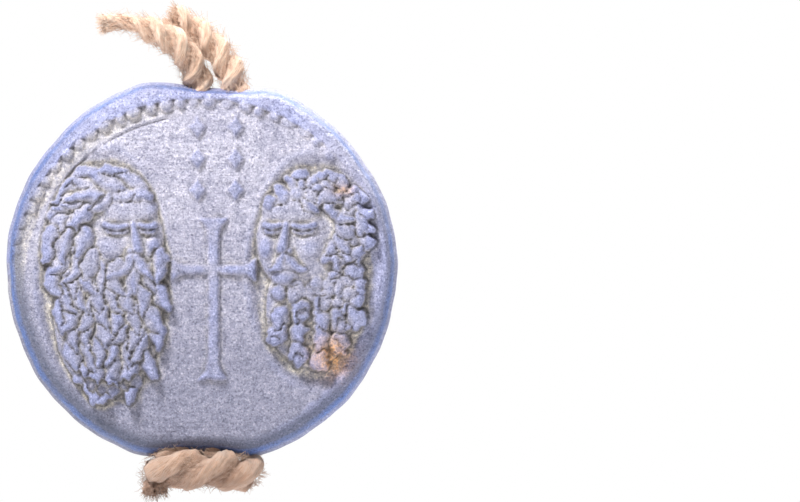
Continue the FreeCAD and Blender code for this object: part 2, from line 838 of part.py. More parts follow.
def strike_reverse_signs(half):
    """A small cross with splayed arms at the top, with stars beside it and below."""
    half.begin("signs")
    rise = f"Sizes.back_relief - {relief_root}"
    sketch = half.face_sketch("small_cross", relief_root)
    x, y = "Sizes.small_cross_place", "Sizes.small_cross_level"
    neck, flare, reach = (
        "Sizes.small_cross_neck",
        "Sizes.small_cross_flare",
        "Sizes.small_cross_reach",
    )
    arm = [(neck, f"-{neck}"), (reach, f"-{flare}"), (reach, flare)]
    turns = [
        lambda a, b: (a, b),
        lambda a, b: (f"-({b})", a),
        lambda a, b: (f"-({a})", f"-({b})"),
        lambda a, b: (b, f"-({a})"),
    ]
    corners = []
    for turn in turns:
        for along, across in arm:
            shift_x, shift_y = turn(along, across)
            corners.append((f"{x} + ({shift_x})", f"{y} + ({shift_y})"))
    draw_outline(sketch, corners)
    half.pad("small_cross_pad", sketch, rise)
    for name, level, radius in (
        ("small_star", "small_cross_level", "small_star_radius"),
        ("side_star", "side_star_level", "star_radius"),
        ("low_star", "low_star_level", "star_radius"),
    ):
        place = f"Sizes.{name}_place"
        sketch = half.face_sketch(name, relief_root)
        draw_outline(sketch, star_corners(f"-{place}", f"Sizes.{level}", f"Sizes.{radius}"))
        star = half.pad(f"{name}_pad", sketch, rise)
        half.row(f"{name}_pair", star, sketch, f"2 * {place}", 2)


def strike_ornament_rows(half):
    """Four rows of four-leaved ornaments, each leaf a kite round a pellet."""
    rows = (("first", 3), ("second", 4), ("third", 4), ("fourth", 3))
    for number, (name, count) in enumerate(rows):
        shift, pitch = f"Sizes.{name}_row_shift", f"Sizes.{name}_row_pitch"
        x = f"({shift} - {pitch} * {(count - 1) / 2})"
        y = f"(Sizes.row_level - Sizes.row_pitch * {number})"
        half.begin(f"{name}_row")
        sketch = half.face_sketch(f"{name}_row", relief_root)
        reach, gap = "Sizes.leaf_reach", "Sizes.leaf_gap"
        half_leaf = "Sizes.leaf_width / 2"
        middle = f"({reach} * 0.62)"
        pellet = "Sizes.centre_pellet_radius"
        draw_facets(sketch, x, y, pellet, pellet, pellet_sides)
        for side in ("-", "+"):
            draw_outline(
                sketch,
                [
                    (x, f"{y} {side} {gap}"),
                    (f"{x} + {half_leaf}", f"{y} {side} {middle}"),
                    (x, f"{y} {side} {reach}"),
                    (f"{x} - {half_leaf}", f"{y} {side} {middle}"),
                ],
            )
            draw_outline(
                sketch,
                [
                    (f"{x} {side} {gap}", y),
                    (f"{x} {side} {middle}", f"{y} + {half_leaf}"),
                    (f"{x} {side} {reach}", y),
                    (f"{x} {side} {middle}", f"{y} - {half_leaf}"),
                ],
            )
        rise = f"Sizes.back_relief - {relief_root}"
        ornament = half.pad(f"{name}_row_ornament", sketch, rise)
        half.row(f"{name}_row_copies", ornament, sketch, pitch, count)


strike_reverse_signs(reverse)
strike_ornament_rows(reverse)
lead_halves = [half.join() for half in (obverse, reverse)]


# Cord strands
def pressed_run(label, side):
    """The stretch of a strand that the lead grips, pressed oval."""
    body = document.addObject("PartDesign::Body", label)
    body.Label = label
    sketch = channel_sketch(body, f"{label}_section", "-Sizes.mouth_depth")
    draw_facets(
        sketch,
        f"Sizes.cord_spacing * {side}",
        "0",
        "Sizes.pressed_half_width",
        "Sizes.pressed_half_depth",
        cord_sides,
    )
    pad = body.newObject("PartDesign::Pad", f"{label}_pad")
    pad.Profile = sketch
    pad.Reversed = True
    length = f"{channel_drop} / cos({channel_slant}) - 2 * Sizes.mouth_depth"
    pad.setExpression("Length", length)
    body.Tip = pad
    return body


def rounded_route(points, share=0.45):
    """Straight runs joined by tangent arcs, each as large as its two runs allow."""
    edges, radii = [], []
    start = points[0]
    for before, corner, after in zip(points, points[1:], points[2:]):
        back = (before - corner).normalize()
        onward = (after - corner).normalize()
        turn = math.pi - back.getAngle(onward)
        shorter = min((before - corner).Length, (after - corner).Length)
        reach = share * shorter
        radius = reach / math.tan(turn / 2)
        first, last = corner + back * reach, corner + onward * reach
        bisector = (back + onward).normalize()
        to_centre = math.hypot(radius, reach)
        middle = corner + bisector * (to_centre - radius)
        edges.append(Part.LineSegment(start, first).toShape())
        edges.append(Part.Arc(first, middle, last).toShape())
        radii.append(round(radius, 2))
        start = last
    edges.append(Part.LineSegment(start, points[-1]).toShape())
    return Part.Wire(edges), radii


def free_cord(label, points):
    """A free stretch of strand: a round tube along its route."""
    wire, radii = rounded_route(points)
    route = document.addObject("Part::Feature", f"{label}_route")
    route.Shape = wire
    section = document.addObject("Part::RegularPolygon", f"{label}_section")
    section.Polygon = cord_sides
    section.setExpression("Circumradius", "Sizes.cord_radius")
    along = (points[1] - points[0]).normalize()
    section.Placement = FreeCAD.Placement(
        points[0], FreeCAD.Rotation(Vector(0, 0, 1), along)
    )
    tube = document.addObject("Part::Sweep", label)
    tube.Label = label
    tube.Sections = [section]
    tube.Spine = (route, [f"Edge{k + 1}" for k in range(len(wire.Edges))])
    tube.Solid = True
    tube.Frenet = False
    document.recompute()
    facet = 2 * math.pi / cord_sides
    expected = cord_sides / 2 * math.sin(facet) * size("cord_radius") ** 2 * wire.Length
    print(
        f"{label}: length {wire.Length:.1f} mm, radii {radii},"
        f" volume {tube.Shape.Volume:.2f} of {expected:.2f} mm3"
    )
    return tube


def exit_frame():
    """Where the channels leave the lead, and the direction that they leave in."""
    start, end = math.radians(size("top_flat_start")), math.radians(size("top_flat_end"))
    low, high = (
        math.radians(size("bottom_flat_start")),
        math.radians(size("bottom_flat_end")),
    )
    radius = size("disc_radius")
    drop = radius * math.cos((end - start) / 2) / math.sin((end + start) / 2)
    drop += radius * math.cos((high - low) / 2)
    slant = math.atan2(size("cord_drift"), drop)
    up = Vector(math.sin(slant), 0, math.cos(slant))
    top = Vector(size("cord_shift"), 0, 0)
    foot = top - up * (drop / math.cos(slant))
    across = Vector(math.cos(slant), 0, -math.sin(slant))
    return top, foot, up, across * size("cord_spacing")


top_centre, foot_centre, channel_up, spacing = exit_frame()
mouth = channel_up * size("mouth_depth")

# Points of the free stretches, chosen by hand from each exit's own centre.
left_top_points = [(0.02, 0, 0.6), (-0.75, -0.55, 3.1), (-2.4, -1.15, 5.0)]
left_top_points += [(-4.7, -1.5, 6.0), (-7.2, -1.35, 6.35), (-9.4, -1.0, 6.3)]
right_top_points = [(-0.1, 0.05, 0.6), (-0.7, 0.6, 3.2), (-2.2, 1.35, 5.3)]
right_top_points += [(-4.3, 1.75, 6.6), (-6.6, 1.75, 7.0)]
left_tail_points = [(0.05, 0, -1.75), (3.1, -3.0, -2.3), (6.6, -2.0, -1.9)]
left_tail_points += [(7.0, 1.5, -1.7)]
right_tail_points = [(-0.05, 0, -1.75), (-2.6, 2.9, -2.2), (-5.6, 2.7, -1.9)]


def strand_points(exit_point, inner_point, offsets):
    return [inner_point] + [exit_point + Vector(*offset) for offset in offsets]


strands = []
for number, (side, top_points, tail_points) in enumerate(
    (
        ("left", left_top_points, left_tail_points),
        ("right", right_top_points, right_tail_points),
    )
):
    top = top_centre + spacing * strand_sides[number]
    foot = foot_centre + spacing * strand_sides[number]
    strands.append(free_cord(f"{side}_cord_top", strand_points(top, top - mouth, top_points)))
    strands.append(pressed_run(f"{side}_cord_run", strand_sides[number]))
    strands.append(free_cord(f"{side}_cord_tail", strand_points(foot, foot + mouth, tail_points)))

document.recompute()
nodes = lead_halves + strands
for item in document.Objects:
    if "Invalid" in item.State or "Error" in item.State:
        raise RuntimeError(f"{item.Label} did not recompute: {item.State}")
for node in nodes:
    if node.Shape.isNull() or not node.Shape.isValid():
        raise RuntimeError(f"{node.Label} has no valid shape")
    if len(node.Shape.Solids) != 1:
        raise RuntimeError(f"{node.Label} has {len(node.Shape.Solids)} solids")

os.makedirs("parts", exist_ok=True)
for node in nodes:
    node.Shape.exportStep(f"parts/{node.Label}.step")
    print(node.Label, round(node.Shape.Volume, 2), "mm3")
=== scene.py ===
import math
import random

import bmesh
import bpy
import numpy as np
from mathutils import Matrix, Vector


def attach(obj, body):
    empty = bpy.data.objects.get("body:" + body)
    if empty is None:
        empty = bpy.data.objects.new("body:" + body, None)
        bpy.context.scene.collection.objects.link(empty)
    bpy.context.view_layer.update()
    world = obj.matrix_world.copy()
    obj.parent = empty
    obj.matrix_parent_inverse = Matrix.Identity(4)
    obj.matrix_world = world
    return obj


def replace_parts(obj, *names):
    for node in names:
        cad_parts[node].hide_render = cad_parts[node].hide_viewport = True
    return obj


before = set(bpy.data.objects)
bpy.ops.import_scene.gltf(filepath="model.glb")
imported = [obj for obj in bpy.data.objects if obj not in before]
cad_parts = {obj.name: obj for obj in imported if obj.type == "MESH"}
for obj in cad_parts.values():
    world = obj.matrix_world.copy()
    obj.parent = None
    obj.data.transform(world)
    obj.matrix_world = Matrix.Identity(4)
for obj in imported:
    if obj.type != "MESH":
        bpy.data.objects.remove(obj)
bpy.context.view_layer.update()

mm = 0.001
scene = bpy.context.scene
scene.view_settings.view_transform = "Standard"

# The disc as it hangs, in mm: the cord leaves it at the origin, its centre lies straight below.
disc = {
    "radius": 19.1,
    "centreZ": -18.22,
    "topFlat": (68.6, 105.1),
    "footFlat": (253.0, 285.1),
    "halfThickness": 2.2,
    "gridCount": 292,
    "rimRings": 5,
}


def addNode(tree, kind, at, **values):
    node = tree.nodes.new(kind)
    node.location = at
    for name, value in values.items():
        if hasattr(node, name):
            setattr(node, name, value)
        else:
            node.inputs[name.replace("_", " ")].default_value = value
    return node


def feed(tree, sockets, values):
    for socket, value in zip(sockets, values):
        if isinstance(value, bpy.types.NodeSocket):
            tree.links.new(value, socket)
        else:
            socket.default_value = (*value, 1) if isinstance(value, tuple) else value


def mathNode(tree, operation, first, second, at, clamp=False):
    node = addNode(tree, "ShaderNodeMath", at, operation=operation, use_clamp=clamp)
    feed(tree, node.inputs, (first, second))
    return node.outputs[0]


def rampNode(tree, source, stops, at):
    node = addNode(tree, "ShaderNodeValToRGB", at)
    ramp = node.color_ramp
    while len(ramp.elements) < len(stops):
        ramp.elements.new(0.5)
    for element, (place, colour) in zip(ramp.elements, stops):
        element.position = place
        element.color = (*colour, 1)
    tree.links.new(source, node.inputs[0])
    return node.outputs[0]


def mixColour(tree, kind, amount, below, above, at):
    node = addNode(tree, "ShaderNodeMix", at, data_type="RGBA", blend_type=kind)
    feed(tree, (node.inputs[0], node.inputs[6], node.inputs[7]), (amount, below, above))
    return node.outputs[2]


def mapNode(tree, source, low, high, at, toLow=0.0, toHigh=1.0):
    node = addNode(tree, "ShaderNodeMapRange", at, From_Min=low, From_Max=high, To_Min=toLow, To_Max=toHigh)
    tree.links.new(source, node.inputs["Value"])
    return node.outputs[0]


def noiseAt(tree, vector, scale, detail, roughness, at):
    node = addNode(tree, "ShaderNodeTexNoise", at, Scale=scale, Detail=detail, Roughness=roughness)
    tree.links.new(vector, node.inputs["Vector"])
    return node.outputs["Fac"]


def newMaterial(name, right, **values):
    material = bpy.data.materials.new(name)
    material.use_nodes = True
    tree = material.node_tree
    tree.nodes.clear()
    out = addNode(tree, "ShaderNodeOutputMaterial", (right, 0))
    shader = addNode(tree, "ShaderNodeBsdfPrincipled", (right - 300, 0), **values)
    tree.links.new(shader.outputs[0], out.inputs[0])
    return material, tree, shader


def finishMesh(bm, mesh):
    bmesh.ops.recalc_face_normals(bm, faces=bm.faces)
    for face in bm.faces:
        face.smooth = True
    bm.to_mesh(mesh)
    bm.free()


# The camera looks straight at the obverse, as the photograph does.
viewLook = {"frameWidth": 80.0, "distance": 900.0, "place": (19.85, -16.3)}
lens = bpy.data.cameras.new("longLens")
lens.sensor_width = 36
lens.lens = 36 * viewLook["distance"] / viewLook["frameWidth"]
lens.clip_start = 0.05
lens.clip_end = 10
camera = bpy.data.objects.new("longLens", lens)
scene.collection.objects.link(camera)
viewAcross, viewUp = viewLook["place"]
camera.location = (viewAcross * mm, -viewLook["distance"] * mm, viewUp * mm)
camera.rotation_euler = (math.radians(90), 0, 0)
scene.camera = camera
print("camera set")

# Two-ply hemp, sizes in mm. The plies wind the other way below the lead, as they look in the photo.
cordLook = {
    "diameter": 2.9,
    "plyRadius": 0.90,
    "spread": 0.60,  # from the strand's middle to a ply's
    "lay": 5.0,  # one whole turn of the plies
    "footLay": 6.6,
    "footFrom": (-36.2, -37.6),  # heights between which a strand thickens to its tail's size
    "endFrom": (0.6, 2.2),  # distances from the end between which it has its end's size
    "turnsBackAt": -18.0,
    "sides": 24,
    "light": (0.98, 0.82, 0.68),
    "mid": (0.92, 0.61, 0.43),
    "shade": (0.38, 0.205, 0.125),
    "footTone": (0.50, 0.44, 0.42),
    "grey": (0.44, 0.40, 0.36),
}

# Routes from the free end down. thin: size of the frayed end, where it ends, where full size starts.
strandRoutes = {
    "leftStrand": {
        "nodes": ("left_cord_top", "left_cord_run", "left_cord_tail"),
        "points": [
            (-9.6, -1.0, 6.4), (-8.2, -1.2, 6.75), (-6.3, -1.45, 6.35), (-4.3, -1.5, 5.55),
            (-2.5, -1.3, 4.55), (-1.15, -0.7, 2.9), (-0.30, 0.0, 0.80), (-0.17, 0.0, -2.12),
            (-1.10, 0.0, -18.3), (-1.97, 0.0, -34.4), (-2.3, 0.2, -37.0), (-3.8, -0.1, -37.5),
            (-3.9, -1.9, -37.9), (-1.5, -2.4, -38.1), (2.0, -2.1, -38.2), (4.2, -1.0, -38.2),
            (4.5, 0.5, -38.3),
        ],
        "thin": (0.52, 2.8, 5.4),
        "tailSize": 1.34,
        "endSize": 1.0,
        "exit": (-0.05, 0.0, 0.08),
        "seed": 3,
    },
    "rightStrand": {
        "nodes": ("right_cord_top", "right_cord_run", "right_cord_tail"),
        "points": [
            (-3.0, 1.75, 7.0), (-1.3, 1.75, 6.3), (0.6, 1.4, 4.9), (2.0, 0.85, 3.3),
            (2.95, 0.35, 1.6), (3.36, 0.05, -0.1), (3.33, 0.0, -2.30), (2.40, 0.0, -18.4),
            (1.52, 0.0, -34.6), (1.35, 1.0, -37.9), (-1.2, 2.2, -38.5), (-3.9, 1.4, -38.4),
            (-4.9, -0.3, -38.8), (-4.6, -1.4, -40.2),
        ],
        "thin": (0.98, 0.0, 1.0),
        "tailSize": 1.12,
        "endSize": 0.7,
        "exit": (3.45, 0.0, -0.12),
        "seed": 8,
    },
}

fuzzLook = {
    "perMillimetre": 125,
    "length": (0.5, 1.5),
    "radius": 0.022,
    "reach": (0.85, 1.32),
    "wander": 0.14,
    "steps": 4,
    "endFibres": 300,
    "endSteps": 3,
}


def makeHemp():
    sheen = {"Sheen_Weight": 0.3, "Sheen_Roughness": 0.5, "Specular_IOR_Level": 0.2}
    material, tree, shader = newMaterial("hempYarn", 1200, Roughness=0.85, **sheen)
    yarn = addNode(tree, "ShaderNodeAttribute", (-1100, 0), attribute_name="yarn").outputs["Vector"]
    place = addNode(tree, "ShaderNodeTexCoord", (-1100, -300)).outputs["Object"]
    depth = addNode(tree, "ShaderNodeAttribute", (-1100, -500), attribute_name="groove").outputs["Fac"]
    # fibres run along the ply
    drawn = addNode(tree, "ShaderNodeMapping", (-850, 0))
    drawn.inputs["Scale"].default_value = (0.7, 6.0, 6.0)
    tree.links.new(yarn, drawn.inputs["Vector"])
    fibre = noiseAt(tree, drawn.outputs[0], 2.2, 5, 0.75, (-600, 0))
    patch = noiseAt(tree, place, 480, 3, 0.6, (-600, -300))
    stops = [(0.34, cordLook["shade"]), (0.46, cordLook["mid"]), (0.60, cordLook["light"])]
    colour = rampNode(tree, fibre, stops, (-350, 0))
    tint = rampNode(tree, patch, [(0.35, (0.86, 0.82, 0.80)), (0.65, (1.08, 1.06, 1.05))], (-350, -300))
    colour = mixColour(tree, "MULTIPLY", 1.0, colour, tint, (-100, 0))
    greyed = rampNode(tree, patch, [(0.56, (0, 0, 0)), (0.66, (1, 1, 1))], (-350, -700))
    greyed = mathNode(tree, "MULTIPLY", greyed, 0.35, (-200, -700))
    colour = mixColour(tree, "MIX", greyed, colour, cordLook["grey"], (60, 120))
    # painted shade where the plies meet and between their lobes
    shaded = mathNode(tree, "MULTIPLY", depth, 0.6, (-350, -500), True)
    colour = mixColour(tree, "MIX", shaded, colour, cordLook["shade"], (200, 0))
    # darker and greyer towards the end below the lead
    height = addNode(tree, "ShaderNodeSeparateXYZ", (-350, 500))
    tree.links.new(place, height.inputs[0])
    towardsFoot = mapNode(tree, height.outputs["Z"], -0.034, -0.0395, (-150, 500))
    darkenedFoot = mixColour(tree, "MULTIPLY", 1.0, colour, cordLook["footTone"], (300, 300))
    colour = mixColour(tree, "MIX", towardsFoot, colour, darkenedFoot, (420, 100))
    tree.links.new(colour, shader.inputs["Base Color"])
    bump = addNode(tree, "ShaderNodeBump", (500, -300), Strength=1.0, Distance=0.00022)
    tree.links.new(fibre, bump.inputs["Height"])
    tree.links.new(bump.outputs[0], shader.inputs["Normal"])
    return material


def routeLine(name, points):
    # the points that the bare NURBS curve itself runs through
    curve = bpy.data.curves.new(name + "Route", "CURVE")
    curve.dimensions = "3D"
    curve.resolution_u = 26
    spline = curve.splines.new("NURBS")
    spline.points.add(len(points) - 1)
    for point, place in zip(spline.points, points):
        point.co = (place[0] * mm, place[1] * mm, place[2] * mm, 1)
    spline.order_u = 3
    spline.use_endpoint_u = True
    holder = bpy.data.objects.new(name + "Route", curve)
    mesh = bpy.data.meshes.new_from_object(holder)
    line = [vert.co.copy() for vert in mesh.vertices]
    bpy.data.objects.remove(holder)
    bpy.data.meshes.remove(mesh)
    return line


def framesAlong(places):
    frames = []
    normal = Vector((0, 1, 0))
    for k, place in enumerate(places):
        ahead = (places[min(k + 1, len(places) - 1)] - places[max(k - 1, 0)]).normalized()
        normal = (normal - ahead * normal.dot(ahead)).normalized()
        frames.append((place, ahead, normal.copy(), ahead.cross(normal)))
    return frames


def ease(low, high, value):
    share = min(max((value - low) / (high - low), 0), 1)
    return share * share * (3 - 2 * share)


def strandSizes(route, places, along):
    # thickness and turn of the two plies at each point of the route
    sizes, turns = [], []
    turn = route["seed"] * 1.3
    thinSize, thinEnd, fullFrom = route["thin"]
    for k, place in enumerate(places):
        below = ease(*cordLook["footFrom"], place.z / mm)
        size = thinSize + (1 - thinSize) * ease(thinEnd, fullFrom, along[k])
        size *= 1 + (route["tailSize"] - 1) * below
        size *= 1 + (route["endSize"] - 1) * (1 - ease(*cordLook["endFrom"], along[-1] - along[k]))
        sizes.append(size)
        turns.append(turn)
        if k + 1 < len(places):
            hand = 1 if place.z > cordLook["turnsBackAt"] * mm else -1
            lay = cordLook["lay"] if hand > 0 else cordLook["footLay"]
            turn += hand * 2 * math.pi * (along[k + 1] - along[k]) / (lay * (0.55 + 0.45 * size))
    return sizes, turns


def plyMesh(frames, along, sizes, turns, ply):
    # a flat grid wrapped round the ply's own winding line, its seam merged and its ends closed
    sides, total = cordLook["sides"], len(frames)
    bm = bmesh.new()
    yarn = bm.verts.layers.float_vector.new("yarn")
    groove = bm.verts.layers.float.new("groove")
    bmesh.ops.create_grid(bm, x_segments=total - 1, y_segments=sides, size=1.0)
    for vert in bm.verts:
        k = round((vert.co.x + 1) / 2 * (total - 1))
        angle = (vert.co.y + 1) * math.pi
        place, ahead, normal, binormal = frames[k]
        turn = turns[k] + math.pi * ply
        # the plies part at the ends, and are uneven along their length
        fray = 0.3 * max(0.0, 1 - along[k] / 2.4) + 0.25 * max(0.0, 1 - (along[-1] - along[k]) / 2.2)
        outward = normal * math.cos(turn) + binormal * math.sin(turn)
        across = ahead.cross(outward)
        centre = place + outward * cordLook["spread"] * sizes[k] * (1 + fray) * mm
        swell = 1 + 0.06 * math.sin(along[k] * 1.7 + ply) + 0.05 * math.sin(along[k] * 4.3 + 2 * ply)
        lobes = 0.05 * math.sin(5 * angle + along[k] * 1.3)
        lobes += 0.035 * math.sin(9 * angle - along[k] * 2.1 + ply)
        reach = cordLook["plyRadius"] * sizes[k] * swell * (1 + lobes)
        vert.co = centre + (outward * math.cos(angle) + across * math.sin(angle)) * reach * mm
        lean = angle + along[k] * 0.5
        vert[yarn] = (along[k] + 37 * ply, reach * math.cos(lean), reach * math.sin(lean))
        # painted shade on the side where each ply meets the other, and in the dips between its lobes
        vert[groove] = max(0.0, -math.cos(angle)) ** 1.5 * 0.8 + max(0.0, -lobes * 7)
    bmesh.ops.remove_doubles(bm, verts=bm.verts, dist=0.0005 * mm)
    bmesh.ops.holes_fill(bm, edges=[edge for edge in bm.edges if edge.is_boundary], sides=0)
    mesh = bpy.data.meshes.new("ply")
    finishMesh(bm, mesh)
    return mesh


def fuzzMesh(frames, along, sizes, rng):
    # loose fibres as thin round curves, most along the strand and a brush of them at each end
    curve = bpy.data.curves.new("fuzz", "CURVE")
    curve.dimensions = "3D"
    curve.bevel_depth = fuzzLook["radius"] * mm
    curve.bevel_resolution = 0
    curve.use_fill_caps = True

    def addFibre(start, heading, curl, length, steps, girth):
        spline = curve.splines.new("POLY")
        spline.points.add(steps)
        place, heading = start.copy(), heading.normalized()
        for k, point in enumerate(spline.points):
            point.co = (*place, 1)
            point.radius = girth * (1 - 0.6 * k / steps)
            sway = Vector([rng.gauss(0, fuzzLook["wander"]) for _ in range(3)])
            heading = (heading + curl + sway).normalized()
            place = place + heading * (length / steps)

    # none where the strand is hidden in the lead
    heights = [place.z / mm for place, *axes in frames]
    shown = [k for k in range(len(frames) - 1) if heights[k] > -0.2 or heights[k] < -36.8]
    weights = [along[k + 1] - along[k] for k in shown]
    for k in rng.choices(shown, weights, k=int(sum(weights) * fuzzLook["perMillimetre"])):
        place, ahead, normal, binormal = frames[k]
        angle = rng.uniform(0, 2 * math.pi)
        out = normal * math.cos(angle) + binormal * math.sin(angle)
        start = place + out * rng.uniform(*fuzzLook["reach"]) * sizes[k] * mm
        heading = ahead * rng.choice((-1, 1)) * rng.uniform(0.5, 1.3)
        heading += ahead.cross(out) * rng.uniform(-0.9, 0.9)
        heading += out * rng.uniform(0.05, 0.6)
        curl, length = out * rng.uniform(-0.14, 0.10), rng.uniform(*fuzzLook["length"]) * mm
        addFibre(start, heading, curl, length, fuzzLook["steps"], rng.uniform(0.7, 1.4))
    for end, size, sign in ((frames[0], sizes[0], -1), (frames[-1], sizes[-1], 1)):
        place, ahead, normal, binormal = end
        for _ in range(int(fuzzLook["endFibres"] * (0.4 + 0.6 * size))):
            angle, reach = rng.uniform(0, 2 * math.pi), math.sqrt(rng.random()) * 1.3 * size
            out = normal * math.cos(angle) + binormal * math.sin(angle)
            start = place + out * reach * mm - ahead * sign * 0.5 * mm
            heading = ahead * sign + out * rng.uniform(-0.1, 0.6)
            length = rng.uniform(*fuzzLook["length"]) * mm
            addFibre(start, heading, Vector((0, 0, 0)), length, fuzzLook["endSteps"], 1.5)
    holder = bpy.data.objects.new("fuzz", curve)
    mesh = bpy.data.meshes.new_from_object(holder)
    bpy.data.objects.remove(holder)
    return mesh


def spinStrand(name, route):
    rng = random.Random(route["seed"])
    places = routeLine(name, route["points"])
    along = [0.0]
    for first, second in zip(places, places[1:]):
        along.append(along[-1] + (second - first).length / mm)
    frames = framesAlong(places)
    sizes, turns = strandSizes(route, places, along)
    bm = bmesh.new()
    plies = [plyMesh(frames, along, sizes, turns, ply) for ply in (0, 1)]
    for mesh in (*plies, fuzzMesh(frames, along, sizes, rng)):
        bm.from_mesh(mesh)
        bpy.data.meshes.remove(mesh)
    yarn = bm.verts.layers.float_vector["yarn"]
    for vert in bm.verts:
        if vert[yarn].length == 0:  # a loose fibre's
            vert[yarn] = vert.co * 900
    mesh = bpy.data.meshes.new(name)
    bm.to_mesh(mesh)
    bm.free()
    piece = bpy.data.objects.new(name, mesh)
    scene.collection.objects.link(piece)
    piece.data.materials.append(hemp)
    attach(piece, "root")
    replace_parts(piece, *route["nodes"])
    print("spun", name, len(mesh.polygons), "faces,", round(along[-1], 1), "mm")


hemp = makeHemp()
for strandName, strandRoute in strandRoutes.items():
    spinStrand(strandName, strandRoute)


# Weathered lead's colours, some of them painted light: shade towards the foot, in creases and on the rim's roll, a blue
# reflection along the rim's edge, and light towards the top mixed into the crust.
leadLook = {
    "body": (0.375, 0.368, 0.475),
    # painted shade: the body's colour towards the foot
    "footShadeBody": (0.195, 0.198, 0.275),
    # pale crust, also painted light towards the top
    "crustAndTopLight": (0.560, 0.545, 0.640),
    "tops": (0.265, 0.285, 0.465),
    "dust": (0.560, 0.515, 0.440),
    # painted shade in creases and in the joint between the halves
    "crease": (0.040, 0.040, 0.055),
    "lip": (0.330, 0.355, 0.590),
    # painted shade on the rim's roll, the side turned down from the lamp
    "rimShadeBand": (0.060, 0.072, 0.125),
    # painted reflection: the blue edge of the rim
    "rim": (0.055, 0.120, 0.360),
    "earth": (0.620, 0.350, 0.170),
    "grime": (0.270, 0.245, 0.262),
    "metallic": 0.08,
    "roughness": (0.38, 0.62),
}

# Finishes in the order they lie over each other: the noise they're patched by, its two levels, share. The crease and
# rim-roll finishes are painted shade, the rim's edge a painted reflection.
leadFinishes = (
    ("grime", "blotch", 0.35, 0.60, 0.90),
    ("tops", "blotch", 0.35, 0.55, 0.95),
    ("dust", "grain", 0.40, 0.55, 0.90),
    ("lip", "blotch", 0.35, 0.55, 0.85),
    ("rimShadeBand", "grain", 0.35, 0.60, 0.90),
    ("rim", "blotch", 0.38, 0.55, 0.90),
    ("earth", "grain", 0.46, 0.56, 0.95),
    ("crease", "grain", 0.25, 0.45, 0.62),
)


def makeLead(name):
    metal = {"Metallic": leadLook["metallic"], "Specular_IOR_Level": 0.5}
    material, tree, shader = newMaterial(name, 1900, **metal)
    place = addNode(tree, "ShaderNodeTexCoord", (-1400, 0)).outputs["Object"]
    blotch = noiseAt(tree, place, 260, 6, 0.62, (-1100, 300))
    grain = noiseAt(tree, place, 1500, 6, 0.75, (-1100, 80))
    speck = noiseAt(tree, place, 5200, 3, 0.65, (-1100, -140))
    noises = {"blotch": blotch, "grain": grain}
    # painted shade: darker towards the foot of the disc, as light falls off below, with pale crust in clouds towards
    # its top, put there also as painted light
    height = addNode(tree, "ShaderNodeSeparateXYZ", (-1100, 520))
    tree.links.new(place, height.inputs[0])
    upwards = mapNode(tree, height.outputs["Z"], -0.026, -0.002, (-850, 520))
    lower = mapNode(tree, height.outputs["Z"], -0.038, -0.006, (-850, 700))
    body = mixColour(tree, "MIX", lower, leadLook["footShadeBody"], leadLook["body"], (-500, 640))
    clouds = rampNode(tree, blotch, [(0.36, (0, 0, 0)), (0.62, (1, 1, 1))], (-850, 300))
    # real pale crust in clouds, made stronger towards the top as painted light
    crustAndTopLightShare = mathNode(tree, "MULTIPLY", upwards, clouds, (-600, 420))
    crustAndTopLightShare = mathNode(tree, "MULTIPLY", crustAndTopLightShare, 0.75, (-450, 420), True)
    colour = mixColour(tree, "MIX", crustAndTopLightShare, body, leadLook["crustAndTopLight"], (-300, 240))
    for k, (mark, noise, low, high, share) in enumerate(leadFinishes):
        at, down = 180 * k - 120, -300 - 220 * k
        found = addNode(tree, "ShaderNodeAttribute", (-1400, down), attribute_name=mark).outputs["Fac"]
        patches = rampNode(tree, noises[noise], [(low, (0, 0, 0)), (high, (1, 1, 1))], (at - 700, down))
        patches = mathNode(tree, "MULTIPLY", patches, 0.42, (at - 400, down))
        patches = mathNode(tree, "ADD", patches, 0.58, (at - 250, down))
        amount = mathNode(tree, "MULTIPLY", found, patches, (at - 120, down))
        amount = mathNode(tree, "MULTIPLY", amount, share, (at, down), True)
        colour = mixColour(tree, "MIX", amount, colour, leadLook[mark], (at + 60, 240))
    # fine light and dark grain over everything, its brightest specks painted glints
    white = (1.0, 1.0, 1.0)
    stops = [(0.30, (0.55, 0.56, 0.62)), (0.50, white), (0.68, (1.34, 1.31, 1.25))]
    mottled = rampNode(tree, grain, stops, (1150, 520))
    colour = mixColour(tree, "MULTIPLY", 1.0, colour, mottled, (1320, 240))
    # painted glints: the brightest specks lighten the colour, the dark specks are grain
    stops = [(0.34, (0.45, 0.45, 0.52)), (0.46, white), (0.56, white), (0.68, (1.75, 1.70, 1.60))]
    specksAndGlints = rampNode(tree, speck, stops, (1300, 520))
    colour = mixColour(tree, "MULTIPLY", 1.0, colour, specksAndGlints, (1450, 240))
    tree.links.new(colour, shader.inputs["Base Color"])
    rough = mapNode(tree, grain, 0.3, 0.7, (1300, -260), *leadLook["roughness"])
    tree.links.new(rough, shader.inputs["Roughness"])
    # pits, grain and fine scratches
    scratchPlace = addNode(tree, "ShaderNodeMapping", (-1100, -2300))
    scratchPlace.inputs["Rotation"].default_value = (0.0, 0.7, 0.0)
    scratchPlace.inputs["Scale"].default_value = (0.10, 1.0, 1.0)
    tree.links.new(place, scratchPlace.inputs["Vector"])
    scratch = noiseAt(tree, scratchPlace.outputs[0], 3000, 2, 0.5, (-850, -2300))
    relief = mathNode(tree, "ADD", grain, mathNode(tree, "MULTIPLY", speck, 0.4, (600, -840)), (800, -760))
    relief = mathNode(tree, "ADD", relief, mathNode(tree, "MULTIPLY", scratch, 0.45, (600, -980)), (950, -840))
    bump = addNode(tree, "ShaderNodeBump", (1300, -600), Strength=1.0, Distance=0.00030)
    tree.links.new(relief, bump.inputs["Height"])
    tree.links.new(bump.outputs[0], shader.inputs["Normal"])
    return material


